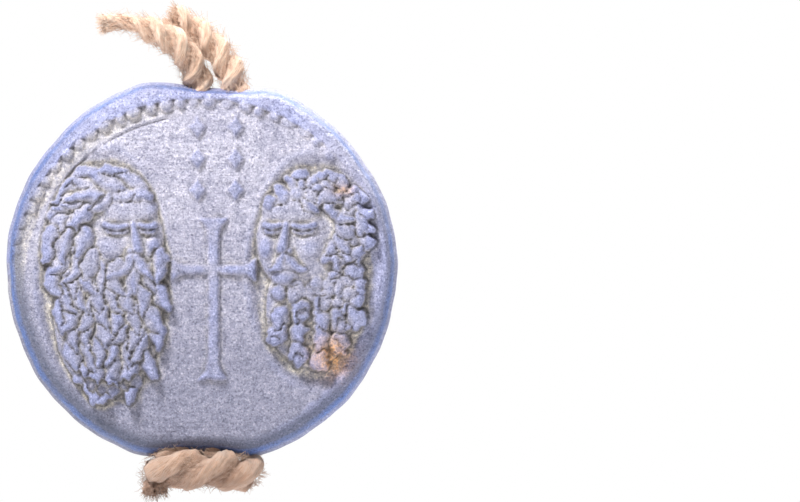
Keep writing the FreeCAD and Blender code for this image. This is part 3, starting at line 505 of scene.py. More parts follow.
def softMax(first, second, blend):
    # the higher of two fields, with the fold between them filled
    mix = np.clip(0.5 + 0.5 * (first - second) / blend, 0, 1)
    return second * (1 - mix) + first * mix + blend * mix * (1 - mix)


def step(low, high, value):
    share = np.clip((value - low) / (high - low), 0, 1)
    return share * share * (3 - 2 * share)


def waveNoise(across, up, scale, seed):
    # three octaves of seeded waves, about -1 to 1
    rng = np.random.default_rng(seed)
    total = np.zeros_like(across)
    for octave in range(3):
        size = scale / 2 ** octave
        for _ in range(5):
            turn = rng.uniform(0, 2 * math.pi)
            phase = rng.uniform(0, 2 * math.pi)
            pitch = size * rng.uniform(0.7, 1.4)
            run = (across * math.cos(turn) + up * math.sin(turn)) / pitch
            total += np.sin(2 * math.pi * run + phase) / 2 ** octave
    return total / 6


class Relief:
    # heights in mm over a face's own grid, pushed and cut as with sculpting brushes

    def __init__(self, across, up):
        self.across = across
        self.up = up
        self.height = np.zeros_like(across)
        # hair is drawn on a slightly bent copy of the grid, so that no two curls are alike
        bend, scale = 0.34, 2.6
        self.bentAcross = across + bend * waveNoise(across, up, scale, 71)
        self.bentUp = up + bend * waveNoise(across, up, scale, 72)

    def near(self, x, z, reach):
        return (np.abs(self.across - x) < reach) & (np.abs(self.up - z) < reach)

    def lift(self, mask, wanted, blend):
        self.height[mask] = softMax(self.height[mask], wanted, blend)

    def gridAt(self, mask, bent):
        return (self.bentAcross[mask], self.bentUp[mask]) if bent else (self.across[mask], self.up[mask])

    def turned(self, mask, x, z, halfWide, halfHigh, turn, bent=False):
        a, b = self.gridAt(mask, bent)
        a, b = a - x, b - z
        c, s = math.cos(turn), math.sin(turn)
        return (a * c + b * s) / halfWide, (b * c - a * s) / halfHigh

    def boss(self, x, z, halfWide, halfHigh, rise, turn=0.0, flat=2.0, blend=0.12):
        mask = self.near(x, z, max(halfWide, halfHigh) * 1.35 + 0.3)
        p, q = self.turned(mask, x, z, halfWide, halfHigh, turn)
        far = np.sqrt(p * p + q * q)
        wanted = rise * np.clip(1 - far ** flat, 0, None) ** 0.5
        wanted[far >= 1] = -1
        self.lift(mask, wanted, blend)

    def dent(self, x, z, halfWide, halfHigh, depth, turn=0.0):
        mask = self.near(x, z, max(halfWide, halfHigh) * 2.6)
        p, q = self.turned(mask, x, z, halfWide, halfHigh, turn)
        self.height[mask] -= depth * np.exp(-(p * p + q * q))

    def pellet(self, x, z, halfWide, halfHigh, base, rise, turn=0.0, hook=0.0):
        # a round curl laid over what is there, with a crease about it and a hooked groove
        mask = self.near(x, z, max(halfWide, halfHigh) * 1.2 + 0.35)
        p, q = self.turned(mask, x, z, halfWide, halfHigh, turn, True)
        far = np.sqrt(p * p + q * q)
        wanted = base + rise * np.clip(1 - far ** 2.3, 0, None) ** 0.5
        ring = np.exp(-((np.hypot(p - 0.12, q) - 0.42) / 0.14) ** 2)
        wanted -= hook * ring * step(-0.5, 0.2, q + 0.4 * p)
        self.height[mask] = np.where(far < 1, wanted, self.height[mask])

    def along(self, points, mask, bent=False):
        # distance to a line of points, share of its length passed, and which side of it
        a, b = self.gridAt(mask, bent)
        best = np.full(a.shape, 1e9)
        share = np.zeros(a.shape)
        side = np.zeros(a.shape)
        runs = [math.dist(p, q) for p, q in zip(points, points[1:])]
        whole = sum(runs)
        done = 0.0
        for (x0, z0), (x1, z1), run in zip(points, points[1:], runs):
            ux, uz = (x1 - x0) / run, (z1 - z0) / run
            t = np.clip((a - x0) * ux + (b - z0) * uz, 0, run)
            dx, dz = a - (x0 + ux * t), b - (z0 + uz * t)
            far = np.hypot(dx, dz)
            closer = far < best
            best = np.where(closer, far, best)
            share = np.where(closer, (done + t) / whole, share)
            side = np.where(closer, dx * -uz + dz * ux, side)
            done += run
        return best, share, side

    def reachOf(self, points, margin):
        xs, zs = [p[0] for p in points], [p[1] for p in points]
        reach = max(max(xs) - min(xs), max(zs) - min(zs)) / 2 + margin
        return self.near((max(xs) + min(xs)) / 2, (max(zs) + min(zs)) / 2, reach)

    def stroke(self, points, halfWidth, rise, start=1.0, end=1.0, square=0.5, blend=0.05):
        mask = self.reachOf(points, halfWidth * 1.5 + 0.2)
        best, share, side = self.along(points, mask)
        far = best / (halfWidth * (start + (end - start) * share))
        wanted = np.where(far >= 1, -1, rise * np.clip(1 - far ** 2, 0, None) ** square)
        self.lift(mask, wanted, blend)

    def lay(self, points, halfWidth, base, rise, ridge=0.05, tail=0.35):
        # a lock of hair laid over what is there, blunt at its root and narrowing to its end
        mask = self.reachOf(points, halfWidth * 1.4 + 0.5)
        best, share, side = self.along(points, mask, True)
        swell = np.sqrt(np.clip(np.sin(math.pi * np.clip(0.14 + share * 0.80, 0, 1)), 0.02, 1))
        width = halfWidth * np.maximum(swell * (1 - (1 - tail) * share ** 2.5), 0.2)
        far = best / width
        crown = np.clip(1 - far ** 2.2, 0, None) ** 0.5
        wanted = base + rise * crown + ridge * np.cos(side / halfWidth * 2 * math.pi) * crown
        self.height[mask] = np.where(far < 1, wanted, self.height[mask])

    def groove(self, points, halfWidth, depth):
        mask = self.reachOf(points, halfWidth * 2.5 + 0.2)
        self.height[mask] -= depth * np.exp(-(self.along(points, mask)[0] / halfWidth) ** 2)


def bow(start, end, bend, hook=0.0):
    # a bent line of points, with its last part swung aside by the hook
    (x0, z0), (x1, z1) = start, end
    count = 8
    mx, mz = (x0 + x1) / 2 - (z1 - z0) * bend, (z0 + z1) / 2 + (x1 - x0) * bend
    line = []
    for k in range(count):
        t = k / (count - 1)
        sway = hook * t ** 4
        line.append((
            (1 - t) ** 2 * x0 + 2 * t * (1 - t) * mx + t * t * x1 - (z1 - z0) * sway,
            (1 - t) ** 2 * z0 + 2 * t * (1 - t) * mz + t * t * z1 + (x1 - x0) * sway,
        ))
    return line


def outlineRadius(angle):
    # the disc's uneven outline, pressed flat where the cord leaves it
    degrees = np.degrees(angle) % 360
    radius = np.full_like(degrees, disc["radius"])
    radius += 0.07 * np.sin(np.radians(degrees * 3 + 40)) + 0.06 * np.sin(np.radians(degrees * 7 + 10))
    radius += 0.04 * np.sin(np.radians(degrees * 17 + 65)) + 0.02 * np.sin(np.radians(degrees * 41 + 5))
    for (low, high) in (disc["topFlat"], disc["footFlat"]):
        middle, half = math.radians((low + high) / 2), math.radians((high - low) / 2)
        facing = np.cos(np.radians(degrees) - middle)
        flat = np.where(facing > 0.5, disc["radius"] * math.cos(half) / np.maximum(facing, 0.2), 99)
        radius = -softMax(-radius, -flat, 0.45)
    return radius


# How the rim falls away: narrow at the top, a broad slope lower down. The cord's holes in the rim.
rimLook = {"topWidth": 0.75, "footWidth": 1.9, "topDrop": 0.75, "footDrop": 1.25, "nose": 0.14, "seam": 0.12}
cordExits = ((-0.05, 0.05), (3.45, -0.10))
footExits = ((-2.1, -36.62), (1.4, -36.62))


def blurred(field, passes):
    for _ in range(passes):
        padded = np.pad(field, 1, mode="edge")
        field = (padded[:-2, 1:-1] + padded[2:, 1:-1] + padded[1:-1, :-2] + padded[1:-1, 2:] + 2 * field) / 6
    return field


def shapeRim(place):
    # dents, and the lead pressed in about the cord
    x, y, z = place[:, 0], place[:, 1], place[:, 2]
    place[:, 1] = y + np.sign(y) * (waveNoise(x, z, 9, 5) * 0.05 + waveNoise(x, z, 2.6, 8) * 0.03)
    for exits, press, wide, high in ((cordExits, -0.55, 2.0, 1.1), (footExits, 0.7, 2.1, 1.3)):
        for (cx, cz) in exits:
            far = np.hypot((x - cx) / wide, y / 2.4)
            place[:, 2] += press * np.exp(-far ** 2) * np.exp(-((z - cz) / high) ** 2)
    return place


def rollRim(height, marks, side, across, up, angle, inward):
    # the rim rolls over towards the joint between the halves
    low = np.clip(0.62 - 0.75 * np.sin(angle - 0.30 * side), 0, 1)
    width = rimLook["topWidth"] + (rimLook["footWidth"] - rimLook["topWidth"]) * low
    drop = rimLook["topDrop"] + (rimLook["footDrop"] - rimLook["topDrop"]) * low
    width = width * (1 + 0.16 * waveNoise(across, up, 5.0, 12 + side))
    roll = np.clip(1 - inward / width, 0, 1)
    slope = 0.55 * roll ** 1.4 + 0.45 * (1 - np.sqrt(np.clip(1 - roll ** 5, 0, 1)))
    # painted shade on the rim's roll, more of it lower down where the light falls off
    marks["rimShadeBand"] = np.clip(roll * 2.2, 0, 1) * (0.15 + 0.85 * low)
    # painted reflection along the rim's outer edge
    marks["rim"] = np.clip(1 - inward / (0.30 + 0.25 * low), 0, 1) ** 0.6
    return height * (1 - 0.55 * roll) - drop * slope


def wallDown(bm, layers):
    # the side wall, one ring at a time down to the joint
    edge = [e for e in bm.edges if e.is_boundary]
    rings = disc["rimRings"]
    for ring in range(1, rings + 1):
        made = bmesh.ops.extrude_edge_only(bm, edges=edge)["geom"]
        edge = [g for g in made if isinstance(g, bmesh.types.BMEdge)]
        share = ring / rings
        swell = rimLook["nose"] * mm * math.sin(math.pi * share) - (rimLook["seam"] * mm if ring == rings else 0)
        for vert in [g for g in made if isinstance(g, bmesh.types.BMVert)]:
            x, z = vert.co.x, vert.co.z - disc["centreZ"] * mm
            far = math.hypot(x, z)
            vert.co.x += x / far * swell
            vert.co.z += z / far * swell
            vert.co.y -= vert.co.y / (rings - ring + 1)
            # painted reflection at the top of the wall, painted shade over the wall and darkest in the joint
            vert[layers["rim"]] = max(0.0, 1.0 - 2.4 * share)
            vert[layers["crease"]] = 1.0 if ring == rings else 0.0
            vert[layers["rimShadeBand"]] = 0.35
    bmesh.ops.edgeloop_fill(bm, edges=edge)


def strikeFace(name, side, carve):
    # one struck face: a grid drawn to the disc's outline, with its rim rolled over and walled
    count = disc["gridCount"]
    bm = bmesh.new()
    bmesh.ops.create_grid(bm, x_segments=count, y_segments=count, size=1.0)
    mesh = bpy.data.meshes.new(name)
    bm.to_mesh(mesh)
    total = len(mesh.vertices)
    flat = np.empty(total * 3)
    mesh.vertices.foreach_get("co", flat)
    u, v = flat.reshape(-1, 3)[:, 0], flat.reshape(-1, 3)[:, 1]
    a, b = u * np.sqrt(1 - v * v / 2), v * np.sqrt(1 - u * u / 2)
    reach, angle = np.hypot(a, b), np.arctan2(b, a)
    # the reverse is seen from behind, so its own right is the disc's left
    outline = outlineRadius(angle if side < 0 else np.pi - angle)
    across, up = outline * reach * np.cos(angle), outline * reach * np.sin(angle)
    relief = Relief(across, up)
    marks = carve(relief)
    order = np.lexsort((np.round(u * count), np.round(v * count)))
    rows = int(round(math.sqrt(total)))

    def spread(field):
        back = np.empty(total)
        back[order] = field.reshape(-1)
        return back

    # softened as old strikes are, then marked where it lies under or over its surroundings: dust in the hollows,
    # painted shade in the tight creases, and the worn tops
    square = blurred(relief.height[order].reshape(rows, rows), 1)
    near, wide = blurred(square, 5), blurred(square, 60)
    dusty = spread(np.clip((wide - square) / 0.26 - 0.2, 0, 0.8)) * marks["dustPlace"]
    # painted shade: the tight creases darkened
    marks["crease"] = spread(np.clip((near - square) / 0.07 - 0.4, 0, 1))
    marks["dust"] = np.maximum(marks["dust"], dusty)
    marks["tops"] = spread(np.clip((square - wide) / 0.22 - 0.1, 0, 1))
    height = rollRim(spread(square), marks, side, across, up, angle, outline * (1 - reach))
    place = np.empty((total, 3))
    place[:, 0] = -side * across
    place[:, 1] = side * (disc["halfThickness"] + height)
    place[:, 2] = up + disc["centreZ"]
    place = shapeRim(place) * mm
    layers = {finish[0]: bm.verts.layers.float.new(finish[0]) for finish in leadFinishes}
    for k, vert in enumerate(bm.verts):
        vert.co = place[k]
        for mark, layer in layers.items():
            vert[layer] = marks[mark][k]
    wallDown(bm, layers)
    finishMesh(bm, mesh)
    piece = bpy.data.objects.new(name, mesh)
    scene.collection.objects.link(piece)
    piece.data.materials.append(lead)
    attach(piece, "root")
    print("struck", name, len(mesh.polygons), "faces")
    return piece


# Two heads of one plain, calm pattern, each turned to the cross. Places from the disc's centre.
headLook = {
    "left": {"x": -9.5, "z": 3.6, "towards": 1, "faceShift": 1.9},
    "right": {"x": 11.6, "z": 3.6, "towards": -1, "faceShift": 2.2},
    "brow": 1.45,
    "eye": 0.7,
    "noseBase": -1.5,
    "mouth": -2.5,
    "chin": -4.3,
    "midline": 0.85,
}


def carveFace(relief, spot):
    t = spot["towards"]
    fx, fz = spot["x"] + spot["faceShift"] * t, spot["z"] - 0.4

    def boss(p, q, wide, high, rise, **more):
        relief.boss(fx + p * t, fz + q, wide, high, rise, **more)

    def path(points):
        return [(fx + p * t, fz + q) for p, q in points]

    mid = headLook["midline"]
    brow, eye, nose, mouth, chin = (headLook[name] for name in ("brow", "eye", "noseBase", "mouth", "chin"))
    # skull behind, then the face turned out of it
    relief.boss(spot["x"] - 0.2 * t, spot["z"] + 0.1, 5.0, 5.4, 0.6, flat=2.6, blend=0.3)
    boss(0, -0.3, 3.9, 5.0, 1.0, flat=2.6, blend=0.3)
    boss(0.4, 2.9, 3.0, 1.8, 1.26, flat=2.6, blend=0.3)
    boss(-1.5, -1.0, 1.8, 1.5, 1.30, blend=0.3)
    boss(2.75, -0.9, 0.95, 1.4, 1.22, blend=0.3)
    boss(mid + 0.1, chin + 0.5, 1.5, 1.1, 1.34, blend=0.3)
    # nose first, so that the sockets are cut beside it
    bridge = path([(mid + 0.05, brow - 0.1), (mid + 0.45, nose + 0.55)])
    relief.stroke(bridge, 0.62, 1.56, start=0.75, end=1.2, square=0.4, blend=0.2)
    boss(mid + 0.5, nose + 0.42, 0.74, 0.62, 1.62, blend=0.14)
    for side, wide in ((-0.62, 0.46), (0.5, 0.3)):
        boss(mid + 0.3 + side, nose + 0.24, wide, 0.42, 1.42, blend=0.1)
    # deep sockets, full lids, brows
    for p, wide in ((mid - 1.65, 1.0), (mid + 1.4, 0.68)):
        relief.dent(fx + p * t, fz + eye + 0.1, wide, 0.72, 0.42)
        boss(p, eye, wide * 0.78, 0.52, 1.16, blend=0.08)
        relief.stroke(path(bow((p - wide, eye + 0.1), (p + wide, eye + 0.05), -0.32)), 0.2, 1.28, square=0.4, blend=0.05)
        lid = path(bow((p - wide * 0.85, eye - 0.2), (p + wide * 0.85, eye - 0.2), 0.2))
        relief.stroke(lid, 0.16, 1.16, square=0.4, blend=0.05)
        relief.groove(path(bow((p - wide * 0.75, eye + 0.02), (p + wide * 0.75, eye + 0.0), -0.08)), 0.1, 0.13)
        ridge = path(bow((p - wide * 1.15, brow - 0.1), (p + wide * 1.05, brow - 0.15), -0.18))
        relief.stroke(ridge, 0.36, 1.46, square=0.4, blend=0.18)
    # closed, level mouth under the moustache
    boss(mid + 0.2, mouth + 0.2, 1.1, 0.36, 1.42, blend=0.1)
    boss(mid + 0.2, mouth - 0.38, 0.95, 0.4, 1.44, blend=0.1)
    relief.groove(path([(mid - 0.85, mouth - 0.08), (mid + 1.1, mouth - 0.08)]), 0.13, 0.24)
    relief.groove(path(bow((mid - 0.75, nose + 0.3), (mid - 1.55, mouth - 0.2), 0.18)), 0.26, 0.2)
    return fx, fz, path


def carveMoustache(relief, path, runs, gap, foot, bend, width, rise):
    mid = headLook["midline"]
    for side, run in zip((-1, 1), runs):
        lock = bow((mid + 0.25 + gap * side, -1.8), (mid + 0.3 + run * side, foot), -bend * side)
        relief.lay(path(lock), width, 1.0, rise, 0.05)


def insideFace(px, pz, fx, fz, grow=1.0):
    return math.hypot((px - fx) / (3.35 * grow), (pz - fz + 0.1) / (4.3 * grow)) < 1


def levelWidth(outline, level):
    # middle and half width of a beard at one height, from its outline
    for (z0, m0, h0), (z1, m1, h1) in zip(outline, outline[1:]):
        if level <= z1:
            share = min(max((level - z0) / (z1 - z0), 0), 1)
            return m0 + (m1 - m0) * share, h0 + (h1 - h0) * share
    return outline[-1][1:]


# Height, middle and half width of the long beard, from its end up to the temple.
longBeard = ((-12.3, -8.7, 2.0), (-10.6, -8.9, 3.5), (-7.0, -9.0, 4.9), (-3.0, -9.4, 5.6), (1.0, -9.6, 5.9), (3.5, -9.7, 5.9))


def carveLongHead(relief, rng):
    spot = headLook["left"]
    x, z = spot["x"], spot["z"]
    relief.boss(x + 0.2, z - 8.2, 5.4, 7.9, 0.45, flat=3.0, blend=0.3)
    fx, fz, path = carveFace(relief, spot)
    # hair thrown back from the brow: rows of waves round the skull, the far ends laid first
    for reach, base in ((5.4, 0.12), (4.35, 0.36), (3.3, 0.60)):
        degrees = 226 - 6 * (reach < 4)
        while degrees > 38:
            angle = math.radians(degrees + rng.uniform(-3, 3))
            sx, sz = x + 0.35 + reach * math.cos(angle), z + 0.1 + reach * 0.98 * math.sin(angle)
            onward = angle + math.pi / 2 + rng.uniform(-0.25, 0.35)
            length = rng.uniform(2.6, 3.9)
            end = (sx + length * math.cos(onward), sz + length * math.sin(onward))
            if not insideFace(sx, sz, fx, fz) and not insideFace(*end, fx, fz, 0.9) and end[0] > x - 6.3:
                lock = bow((sx, sz), end, rng.uniform(-0.35, 0.15), rng.choice((0, 0.25, -0.25)))
                lockWidth, lockLevel = rng.uniform(0.8, 1.1), base + rng.uniform(-0.05, 0.08)
                relief.lay(lock, lockWidth, lockLevel, rng.uniform(0.72, 0.95), 0.06)
            degrees -= 82 / reach * rng.uniform(0.9, 1.15)
    # beard and the hair before the ear in rows of leaf-shaped locks, lowest first
    level, odd = -11.6, 0.0
    while level < 3.2:
        middle, half = levelWidth(longBeard, level)
        count = max(2, round((half * 2 - 1.1) / 1.72))
        for k in range(count + 1):
            px = middle - half + 0.6 + (2 * half - 1.2) * (k + odd) / (count + 0.5) + rng.uniform(-0.18, 0.18)
            pz = level + rng.uniform(-0.35, 0.35)
            hidden = insideFace(px, pz, fx, fz) and pz > fz - 3.7
            if hidden or px > x + 6.1:
                continue
            lean = (px - middle) * 0.05 + rng.uniform(-0.75, 0.75)
            length = rng.uniform(2.4, 3.3)
            crown = 1 - ((px - middle) / (half + 0.6)) ** 2
            relief.lay(
                bow(
                    (px - lean * 0.4, pz + length * 0.5),
                    (px + lean * 0.6, pz - length * 0.5),
                    rng.uniform(-0.22, 0.22),
                    rng.choice((0, 0.3, -0.3)),
                ),
                rng.uniform(0.86, 1.1), 0.02 + 0.42 * crown, rng.uniform(0.8, 1.1), rng.choice((0.0, 0.06)), 0.55,
            )
        odd = 0.5 - odd
        level += 1.75
    # curled ends along the lower edge
    for k in range(6):
        px = x - 2.6 + 1.12 * k
        pz = z - 15.6 + 0.16 * (k - 2.5) ** 2 + rng.uniform(-0.3, 0.3)
        relief.pellet(px, pz, 0.62, 0.75, 0.12, 0.5, rng.uniform(-0.6, 0.6), 0.12)
    # moustache, two full drooping locks, and a forelock over the brow
    mid = headLook["midline"]
    carveMoustache(relief, path, (2.9, 1.7), 0.15, -3.9, 0.25, 0.62, 0.5)
    relief.lay(path([(mid + 0.2, -3.3), (mid + 0.1, -5.6)]), 0.72, 0.95, 0.5, 0.05)
    for px, pz, ex, ez in ((2.4, 4.2, -0.4, 5.0), (0.6, 4.4, -2.0, 4.4), (-1.6, 4.2, -3.6, 2.8)):
        relief.lay(path(bow((px, pz), (ex, ez), 0.25)), 0.72, 0.78, 0.5, 0.05)


# Columns of fat curls in the short beard: place across, top and end.
shortBeard = ((7.6, -4.1, -7.4), (9.7, -3.0, -9.3), (11.8, -2.9, -9.9), (13.8, -1.6, -8.2), (15.4, -0.6, -5.6))


def carveShortHead(relief, rng):
    spot = headLook["right"]
    x, z, t = spot["x"], spot["z"], spot["towards"]
    relief.boss(x - 0.7, z - 7.4, 4.4, 5.9, 0.42, flat=3.2, blend=0.3)
    fx, fz, path = carveFace(relief, spot)
    # hair: comma curls in rings over the crown and down the far side, outer rings first
    for reach, base in ((5.25, 0.08), (4.25, 0.30), (3.2, 0.52)):
        degrees = -62.0
        while degrees < 150:
            angle = math.radians(degrees)
            px = x - 0.1 + (reach + rng.uniform(-0.15, 0.15)) * 0.94 * math.cos(angle)
            pz = z + 0.3 + (reach + rng.uniform(-0.15, 0.15)) * math.sin(angle)
            if not insideFace(px, pz, fx, fz, 1.04):
                heading = angle + math.pi / 2 + rng.uniform(-1.1, 1.1)
                reachOut = rng.uniform(0.7, 1.05)
                dx, dz = reachOut * math.cos(heading), reachOut * math.sin(heading)
                bend, hook = rng.choice((-0.55, 0.55, 0.4)), rng.choice((0, 0.5, -0.5))
                lock = bow((px - dx, pz - dz), (px + dx, pz + dz), bend, hook)
                relief.lay(lock, rng.uniform(0.62, 0.9), base, rng.uniform(0.7, 0.92), 0.04, 0.7)
            degrees += 76 / reach * rng.uniform(0.88, 1.12)
    # beard in columns of fat curls, the lowest first
    for px, top, foot in shortBeard:
        pz = foot + 0.8
        while pz < top:
            crown = 1 - ((px - 11.0) / 6.2) ** 2
            cx, lean = px + rng.uniform(-0.2, 0.2), rng.uniform(-0.5, 0.5)
            bend, hook = rng.uniform(-0.3, 0.3), rng.choice((0.3, -0.3))
            lock = bow((cx - lean, pz + 0.75), (cx + lean, pz - 0.6), bend, hook)
            width, level = rng.uniform(0.98, 1.15), 0.35 * crown
            relief.lay(lock, width, level, rng.uniform(0.95, 1.15), 0.05, 0.85)
            if rng.random() < 0.6:
                aside, below = rng.uniform(-0.6, 0.6), rng.uniform(0.1, 0.7)
                relief.pellet(cx + aside, pz - below, 0.62, 0.66, 0.35 + level, 0.55, 0.0, 0.1)
            pz += rng.uniform(1.8, 2.2)
    for _ in range(16):
        px, pz = rng.uniform(7.4, 15.4), rng.uniform(-3.6, -1.2)
        if not (insideFace(px, pz, fx, fz, 0.95) and pz > fz - 4.0):
            relief.pellet(px, pz, 0.7, 0.8, 0.5, 0.5, rng.uniform(-1, 1), 0.12)
    # moustache and forelock
    carveMoustache(relief, path, (2.3, 1.4), 0.12, -3.2, 0.3, 0.55, 0.48)
    for px, pz, size in ((-0.2, 4.3, 0.8), (1.2, 4.1, 0.76), (2.6, 3.5, 0.7), (-1.6, 4.2, 0.76)):
        relief.pellet(fx + px * t, fz + pz, size, size, 0.8, 0.5, rng.uniform(-1, 1), 0.14)


def flaredBar(relief, start, end, halfWidth, flare, rise):
    (x0, z0), (x1, z1) = start, end
    run = math.dist(start, end)
    ux, uz = (x1 - x0) / run, (z1 - z0) / run
    mask = relief.near((x0 + x1) / 2, (z0 + z1) / 2, run / 2 + flare + 0.5)
    a, b = relief.across[mask], relief.up[mask]
    t = (a - x0) * ux + (b - z0) * uz
    side = np.abs(-(a - x0) * uz + (b - z0) * ux)
    ends = np.minimum(np.abs(t), np.abs(run - t))
    width = halfWidth + (flare - halfWidth) * np.exp(-(np.clip(ends, 0, None) / 0.85) ** 1.6)
    ragged = 0.10 * waveNoise(a, b, 1.5, 52) + 0.05 * waveNoise(a, b, 0.6, 53)
    inside = np.minimum(width - side, np.minimum(t, run - t)) + ragged
    wear = 1 + 0.22 * waveNoise(a, b, 3.2, 51)
    wanted = np.where(inside <= 0, -1, rise * wear * np.clip(inside / 0.34, 0, 1) ** 0.6)
    relief.lift(mask, wanted, 0.06)


def rubBeads(relief, dieX, dieZ, dieR, first, last, pitch, rise, rng):
    degrees = first
    while degrees < last:
        angle = math.radians(degrees)
        reach = dieR + rng.uniform(-0.15, 0.12)
        relief.boss(
            dieX + reach * math.cos(angle), dieZ + reach * math.sin(angle),
            rng.uniform(0.55, 0.78), rng.uniform(0.50, 0.82), rise * rng.uniform(0.6, 1.0), turn=angle, blend=0.14,
        )
        degrees += pitch * rng.uniform(0.84, 1.16)


def arcPoints(cx, cz, reach, first, last, gap=4):
    return [(cx + reach * math.cos(math.radians(d)), cz + reach * math.sin(math.radians(d))) for d in range(first, last, gap)]


def scuff(relief, rng, dents, scratches):
    # knocks and scratches from centuries of handling
    for _ in range(dents):
        # place across and up, half width, half height, depth, turn
        spans = ((-17.5, 17.5), (-17.5, 17.5), (0.12, 0.6), (0.1, 0.26), (0.03, 0.11), (0, 3.1))
        relief.dent(*[rng.uniform(*span) for span in spans])
    for _ in range(scratches):
        cx, cz, turn = rng.uniform(-16, 16), rng.uniform(-16, 16), rng.uniform(0, 3.1)
        reach = rng.uniform(0.6, 2.6)
        relief.groove([(cx, cz), (cx + reach * math.cos(turn), cz + reach * math.sin(turn))], 0.09, rng.uniform(0.03, 0.08))


# The obverse's die sits off the disc's centre, so that its border runs off the lead below.
obverseLook = {
    "die": (-0.15, -1.9, 19.05),
    "niches": ((-9.6, -1.2, 6.6, 12.8), (11.5, -0.3, 6.7, 11.6)),
    "nicheDepth": 0.42,
    "crossRise": 0.50,
    "lozengeRise": 0.42,
    "lipRise": 0.42,
}


def carveObverse(relief):
    across, up = relief.across, relief.up
    rng = random.Random(11)
    relief.height += 0.08 * waveNoise(across, up, 11, 3)
    # sunken ovals behind the heads, with a soft raised edge
    dust = np.zeros_like(across)
    for (cx, cz, hw, hh) in obverseLook["niches"]:
        far = np.hypot((across - cx) / hw, (up - cz) / hh)
        edge = 0.16 * np.exp(-((far - 1.055) / 0.04) ** 2) * step(-7, 2, up - cz)
        relief.height += -obverseLook["nicheDepth"] * (1 - step(0.88, 1.02, far)) + edge
        dust = np.maximum(dust, 1 - step(0.98, 1.12, far))
    carveLongHead(relief, rng)
    carveShortHead(relief, rng)
    flaredBar(relief, (1.25, 5.3), (1.25, -11.0), 0.66, 1.6, obverseLook["crossRise"])
    flaredBar(relief, (-3.1, 0.05), (5.55, 0.05), 0.54, 1.15, obverseLook["crossRise"])
    # lozenges over the cross
    for row in range(3):
        for side in (-1, 1):
            cx, cz = 1.55 + side * 1.9, 14.3 - 3.15 * row
            mask = relief.near(cx, cz, 1.7)
            a, b = across[mask] - cx, up[mask] - cz
            far = np.abs(a) + np.abs(b) / 1.22 + 0.10 * waveNoise(a + cx, b + cz, 1.4, 61)
            wanted = np.where(far < 1, obverseLook["lozengeRise"] * np.clip((1 - far) / 0.4, 0, 1) ** 0.7, -1)
            relief.lift(mask, wanted, 0.05)
    # raised lip from the left over the top, with the beads half lost in its inner edge
    dieX, dieZ, dieR = obverseLook["die"]
    far = np.hypot(across - dieX, up - dieZ)
    turn = np.degrees(np.arctan2(up - dieZ, across - dieX))
    turn = np.where(turn < -90, turn + 360, turn)
    ragged = 0.22 * waveNoise(across, up, 2.2, 15)
    lipPlace = step(-0.12, 0.16, far + ragged - dieR) * step(30, 62, turn) * (1 - step(172, 192, turn))
    lumps = obverseLook["lipRise"] * (1 + 0.3 * waveNoise(across, up, 3.0, 16))
    relief.height = np.maximum(relief.height, relief.height * (1 - lipPlace) + lipPlace * lumps)
    rubBeads(relief, dieX, dieZ, dieR - 0.1, 46, 96, 5.0, 0.46, rng)
    rubBeads(relief, dieX, dieZ, dieR - 0.2, 96, 172, 5.0, 0.62, rng)
    # worn groove of the thin line inside the border
    relief.groove(arcPoints(dieX, dieZ, dieR - 1.75, 100, 142), 0.13, 0.12)
    relief.stroke(arcPoints(dieX, dieZ, dieR - 1.45, 98, 146), 0.2, 0.10, blend=0.1)
    # the right side's squeezed edge
    edge = step(17.2, 17.7, np.hypot(across + 0.4, up + 0.2) + ragged) * step(-75, -50, turn) * (1 - step(26, 46, turn))
    relief.height += 0.16 * edge
    scuff(relief, rng, 170, 60)
    relief.height += 0.032 * waveNoise(across, up, 1.6, 21) + 0.020 * waveNoise(across, up, 0.7, 22)
    earth = np.exp(-(((across - 13.1) / 1.7) ** 2 + ((up + 8.6) / 1.7) ** 2)) * (dust > 0.2)
    earth += 0.5 * np.exp(-((across - 14.2) ** 2 + ((up - 8.0) / 0.6) ** 2))
    return {
        "earth": np.clip(earth * 1.3, 0, 1),
        "lip": np.clip(lipPlace + 0.7 * edge, 0, 1),
        "dust": 0.55
        * step(-1.75, -1.2, far - dieR)
        * (1 - step(-0.5, 0.0, far - dieR))
        * step(90, 110, turn)
        * (1 - step(170, 190, turn)),
        "dustPlace": np.maximum(dust, 0.35),
        "grime": np.zeros_like(across),
    }


# The reverse: rows of four-leaved ornaments as count, shift and pitch, a small cross and stars.
reverseLook = {
    "rise": 0.46,
    "rows": ((3, 0.6, 6.1), (4, -0.6, 7.1), (4, -0.6, 6.1), (3, 0.4, 6.1)),
    "topRow": 9.05,
    "rowPitch": 7.4,
    "stars": ((4.25, 14.65, 1.1), (13.6, -5.3, 1.65), (10.1, -12.6, 1.65)),
    "die": (-0.55, -2.25, 19.05),
}


def carveOrnament(relief, cx, cz, rise):
    inner, outer = 0.75, 2.9
    for quarter in range(4):
        c, s = math.cos(math.pi / 2 * quarter), math.sin(math.pi / 2 * quarter)
        mask = relief.near(cx, cz, 3.4)
        a, b = relief.across[mask] - cx, relief.up[mask] - cz
        t, side = a * c + b * s, np.abs(b * c - a * s)
        lengthwise = np.clip((t - inner) / (outer - inner), 0, 1)
        half = 0.98 * np.sin(math.pi * lengthwise ** 1.25) ** 0.85
        inside = np.where((t > inner) & (t < outer), half - side, -1)
        vein = 0.16 * np.exp(-(side / 0.13) ** 2) * step(0.05, 0.3, lengthwise)
        wanted = np.where(inside > 0, rise * np.clip(inside / 0.3, 0, 1) ** 0.6 - vein, -1)
        relief.lift(mask, wanted, 0.05)
    relief.boss(cx, cz, 0.52, 0.52, rise, blend=0.03)


